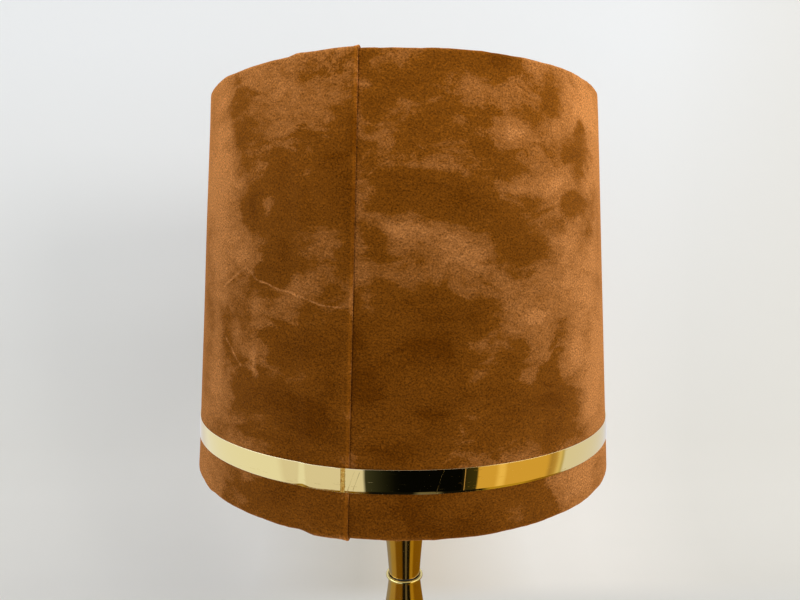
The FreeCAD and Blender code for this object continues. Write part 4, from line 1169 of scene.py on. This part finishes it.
# Painted reflections: colours mirrored by bright metal, by degrees from the front towards the right
ROOM_WALLS = (
    (-130, PALE), (-120, BRIGHT), (-62, BRIGHT), (-58, PALE), (-14.6, PALE), (-13.6, OLIVE), (-2, DARK), (25, DARK),
    (27, (0.030, 0.026, 0.008)), (32.2, (0.045, 0.038, 0.010)), (32.5, GOLDEN), (41, GOLDEN),
    (43, (0.86, 0.60, 0.20)), (45, (0.86, 0.60, 0.20)), (47, GOLDEN), (70, GOLDEN), (73, (0.42, 0.26, 0.07)),
    (76, (0.50, 0.33, 0.10)), (79, (0.75, 0.60, 0.30)), (81, (0.50, 0.42, 0.20)), (83, PALE), (100, PALE),
)
# Painted reflection of the table, by the same degrees
ROOM_TABLE = (
    (-180, (0.30, 0.26, 0.20)), (-114, (0.33, 0.31, 0.26)), (-102, (0.42, 0.33, 0.12)), (-68, (0.43, 0.31, 0.09)),
    (-58, (0.21, 0.112, 0.008)), (-20, (0.20, 0.105, 0.006)), (-11, BLACK), (3, BLACK), (6, (0.17, 0.15, 0.11)),
    (14, (0.15, 0.13, 0.09)), (17, BLACK), (35, BLACK), (39, (0.46, 0.29, 0.025)), (56, (0.46, 0.29, 0.025)),
    (64, (0.25, 0.13, 0.004)), (150, (0.25, 0.13, 0.01)), (180, (0.30, 0.26, 0.20)),
)
# Painted window glints: how much brighter the mirrored upper walls glow, where the windows stand
ROOM_WINDOWS = tuple((degrees, (level,) * 3) for degrees, level in (
    (-180, 0.0), (-100, 0.0), (-92, 1.9), (-48, 1.9), (-40, 0.0), (38, 0.0), (46, 1.6), (80, 1.6), (88, 0.0),
    (180, 0.0)))
# A painted reflection of a thin pale post
ROOM_POST = (26.2, 0.17, (0.48, 0.29, 0.12))      # a thin pale post: direction, half width, colour
# Wall paint near the table, by metres to the right of the lamp: a painted warm shadow close to the foot and a painted
# pool of light to its right
PAINTED_WALL_LIGHT = (
    (-0.6, (0.79, 0.78, 0.75)), (-0.2, (0.79, 0.78, 0.76)), (-0.055, (0.65, 0.62, 0.56)), (0.05, (0.77, 0.71, 0.62)),
    (0.19, (0.92, 0.89, 0.84)), (0.28, (0.92, 0.89, 0.84)), (0.45, (0.81, 0.79, 0.74)), (0.6, (0.80, 0.78, 0.73)),
)
# Stage, in metres from the lamp's middle and from the table's top, on which the felt lies
TABLE_RADIUS, TABLE_TOP = 1.8, -0.0004
WALL_BEHIND, WALL_FOOT, WALL_TOP, WALL_HALF = 0.42, -0.0003, 1.9, 1.7
COVE_START, COVE_ROUND = WALL_BEHIND - 0.17, 0.16
CARD_START, CARD_FLOOR, CARD_RADIUS, CARD_TOP = 0.0886, 0.0008, 0.86, 1.15
LIGHT_SIZE = 1.2
LIGHT_COLOUR = (1.0, 0.985, 0.96)
LIGHT_TARGET = Vector((0, 0, 0.45))
CAMERA_PLACE = (-0.01037, -0.43150, 0.45970)
CAMERA_TURN = (-1.026, 84.698, -0.224)      # degrees: heading, tilt and roll


class LAMP_OT_studio(bpy.types.Operator):
    """Pale floor and backdrop, soft lights, reflection card and the camera"""
    bl_idname = "lamp.studio"
    bl_label = "Studio"

    def execute(self, context):
        scene = context.scene
        studio = scene.lamp_studio
        scene.view_settings.view_transform = "Standard"
        paint = stage_material("studio paint", tuple(studio.wall))[0]
        self.surface("table", [(0, TABLE_TOP), (TABLE_RADIUS, TABLE_TOP)], paint, 96)
        self.wall(self.wall_paint(studio))
        self.painted_reflection_card()
        self.world(scene, studio)
        self.area("key", (3.0, -3.2, 0.85), studio.key_power)
        self.area("upper", (2.2, -2.6, 2.6), studio.upper_power)
        self.camera(scene, studio)
        return {"FINISHED"}

    def surface(self, name, points, material, steps):
        """Open surface turned about the lamp, facing it."""
        bm = bmesh.new()
        corner_loop(bm, points, closed=False)
        turn(bm, steps)
        return self.show(name, bm, material)

    def show(self, name, bm, material):
        """Makes the stage object with its faces towards the lamp."""
        bmesh.ops.remove_doubles(bm, verts=bm.verts, dist=1e-6)
        bmesh.ops.recalc_face_normals(bm, faces=bm.faces)
        eye = Vector((0, 0, 0.6))
        facing = sum(face.normal.dot(eye - face.calc_center_median()) * face.calc_area() for face in bm.faces)
        if facing < 0:
            bmesh.ops.reverse_faces(bm, faces=bm.faces)
        made = to_object(bm, name, material)
        return made

    def wall_paint(self, studio):
        """Paint with painted light: near the table a painted shadow by the foot and a painted pool of light to its
        right, beginning as the table's paint; higher up, painted light from above makes it lighter and cooler, less so
        to the far right.
        """
        made, tree, shader = stage_material("wall paint", tuple(studio.wall))
        places = split(tree, object_coords(tree))
        # Painted light from above, weaker towards the far right.
        up = maths(tree, "MULTIPLY", remap(tree, places["Z"], 0.05, 0.75, smooth=False),
                   remap(tree, places["X"], 0.30, 0.65, 1.0, 0.35))
        left, right = PAINTED_WALL_LIGHT[0][0], PAINTED_WALL_LIGHT[-1][0]
        painted_low_light = ramp(tree, remap(tree, places["X"], left, right, smooth=False),
                    [((x - left) / (right - left), colour) for x, colour in PAINTED_WALL_LIGHT])
        start = remap(tree, places["Y"], COVE_START + 0.005, COVE_START + 0.055)
        painted_low_light = blend_colour(tree, start, tuple(studio.wall), painted_low_light)
        wire(tree, shader, Base_Color=blend_colour(tree, up, painted_low_light, tuple(studio.wall_high_painted_light)))
        return made

    def wall(self, paint):
        """Straight wall behind the lamp, running into the table through a wide cove."""
        bm = bmesh.new()
        corner_loop(bm, [(COVE_START, WALL_FOOT), (WALL_BEHIND, WALL_FOOT, COVE_ROUND), (WALL_BEHIND, WALL_TOP)],
                    closed=False)
        bmesh.ops.rotate(bm, verts=bm.verts, cent=ORIGIN, matrix=Matrix.Rotation(QUARTER, 3, "Z"))
        bmesh.ops.translate(bm, verts=bm.verts, vec=(-WALL_HALF, 0, 0))
        made = bmesh.ops.extrude_edge_only(bm, edges=bm.edges[:])
        bmesh.ops.translate(bm, verts=only(VERT, made["geom"]), vec=(2 * WALL_HALF, 0, 0))
        self.show("wall", bm, paint).visible_glossy = False

    def painted_reflection_card(self):
        """Painted reflection: a glowing card that stands for the room that the bright metal mirrors, seen by glossy
        rays only.
        """
        corners = [(CARD_START, CARD_FLOOR), (CARD_RADIUS, CARD_FLOOR), (CARD_RADIUS, CARD_TOP)]
        made = self.surface("painted_reflection_card", corners, self.painted_reflection_material(), 64)
        for ray in ("camera", "diffuse", "shadow", "transmission", "volume_scatter"):
            setattr(made, "visible_" + ray, False)

    def painted_reflection_material(self):
        """Painted reflection, glowing by direction round the lamp: one set of colours for the walls, one for the
        table.
        """
        made, tree, shader = stage_material("painted reflection card", (0.0, 0.0, 0.0), Emission_Strength=1.0)
        made.cycles.emission_sampling = "NONE"
        places = split(tree, object_coords(tree))
        turned = maths(tree, "ARCTAN2", places["X"], maths(tree, "MULTIPLY", places["Y"], -1.0))
        walls, table, windows = (
            self.round_ramp(tree, turned, stops) for stops in (ROOM_WALLS, ROOM_TABLE, ROOM_WINDOWS))
        direction, half, colour = ROOM_POST
        off_post = maths(tree, "ABSOLUTE", maths(tree, "SUBTRACT", turned, math.radians(direction)))
        half = math.radians(half)
        walls = blend_colour(tree, remap(tree, off_post, half * 1.3, half * 0.7), walls, colour)
        walls = blend_colour(tree, remap(tree, places["Z"], 0.42, 0.50), walls, windows, "ADD")
        upright = remap(tree, places["Z"], 0.001, 0.002)
        wire(tree, shader, Emission_Color=blend_colour(tree, upright, table, walls))
        return made

    def round_ramp(self, tree, turned, stops):
        """Colours by direction; the ramp spans only its own stops, so that its steps stay fine."""
        low, high = stops[0][0], stops[-1][0]
        share = remap(tree, turned, math.radians(low), math.radians(high), smooth=False)
        return ramp(tree, share, [((degrees - low) / (high - low), colour) for degrees, colour in stops])

    def world(self, scene, studio):
        """Even daylight; a plain tone where the camera, a mirror or glass looks past the stage."""
        world = bpy.data.worlds.new("soft daylight")
        scene.world = world
        world.use_nodes = True
        tree = world.node_tree
        tree.nodes.clear()
        path = add(tree, "ShaderNodeLightPath").outputs
        seen = maths(tree, "MAXIMUM", path["Is Camera Ray"],
                     maths(tree, "MAXIMUM", path["Is Glossy Ray"], path["Is Transmission Ray"]))
        light = add(tree, "ShaderNodeBackground", {"Color": (0.97, 0.985, 1.0), "Strength": studio.daylight})
        plain = add(tree, "ShaderNodeBackground", {"Color": (0.80, 0.80, 0.79), "Strength": 1.0})
        both = add(tree, "ShaderNodeMixShader", {
            0: seen, 1: light.outputs["Background"], 2: plain.outputs["Background"]})
        add(tree, "ShaderNodeOutputWorld", {"Surface": both.outputs[0]})

    def area(self, name, place, power):
        """Soft square light turned to the shade, not mirrored by the metal."""
        lamp = bpy.data.lights.new(name, "AREA")
        lamp.shape = "SQUARE"
        lamp.size = LIGHT_SIZE
        lamp.energy = power
        lamp.color = LIGHT_COLOUR
        made = bpy.data.objects.new(name, lamp)
        made.location = place
        made.rotation_euler = (LIGHT_TARGET - Vector(place)).to_track_quat("-Z", "Y").to_euler()
        made.visible_glossy = False
        bpy.context.scene.collection.objects.link(made)

    def camera(self, scene, studio):
        """Camera at the place and turn found from the photo."""
        data = bpy.data.cameras.new("photo camera")
        data.sensor_width = 36.0
        data.sensor_fit = "HORIZONTAL"
        data.lens = studio.lens
        made = bpy.data.objects.new("photo camera", data)
        heading, tilt, roll = (Matrix.Rotation(math.radians(angle), 4, axis)
                               for angle, axis in zip(CAMERA_TURN, "ZXZ"))
        made.matrix_world = Matrix.Translation(CAMERA_PLACE) @ heading @ tilt @ roll
        scene.collection.objects.link(made)
        scene.camera = made


PIECES = (
    LAMP_OT_suede_cover, LAMP_OT_gold_band, LAMP_OT_shade_inside, LAMP_OT_brass_stem, LAMP_OT_foot,
    LAMP_OT_lampholder, LAMP_OT_candle_bulb, LAMP_OT_studio,
)


class LAMP_PT_panel(bpy.types.Panel):
    """Lists the lamp's settings and pieces"""
    bl_label = "Lamp"
    bl_space_type = "VIEW_3D"
    bl_region_type = "UI"
    bl_category = "Lamp"

    def draw(self, context):
        for settings in (context.scene.lamp_shade, context.scene.lamp_metal, context.scene.lamp_studio):
            column = self.layout.column(align=True)
            for name in settings.__annotations__:
                column.prop(settings, name)
        for piece in PIECES:
            self.layout.operator(piece.bl_idname)


SETTINGS = (
    ("lamp_shade", LampShadeSettings),
    ("lamp_metal", LampMetalSettings),
    ("lamp_studio", LampStudioSettings),
)
CLASSES = tuple(kind for _, kind in SETTINGS) + PIECES + (LAMP_PT_panel,)


def register():
    for item in CLASSES:
        bpy.utils.register_class(item)
    for name, kind in SETTINGS:
        setattr(bpy.types.Scene, name, PointerProperty(type=kind))


def unregister():
    for name, _ in SETTINGS:
        delattr(bpy.types.Scene, name)
    for item in reversed(CLASSES):
        bpy.utils.unregister_class(item)


def main():
    register()
    for piece in PIECES:
        group, name = piece.bl_idname.split(".")
        getattr(getattr(bpy.ops, group), name)()


if __name__ == "__main__":
    main()
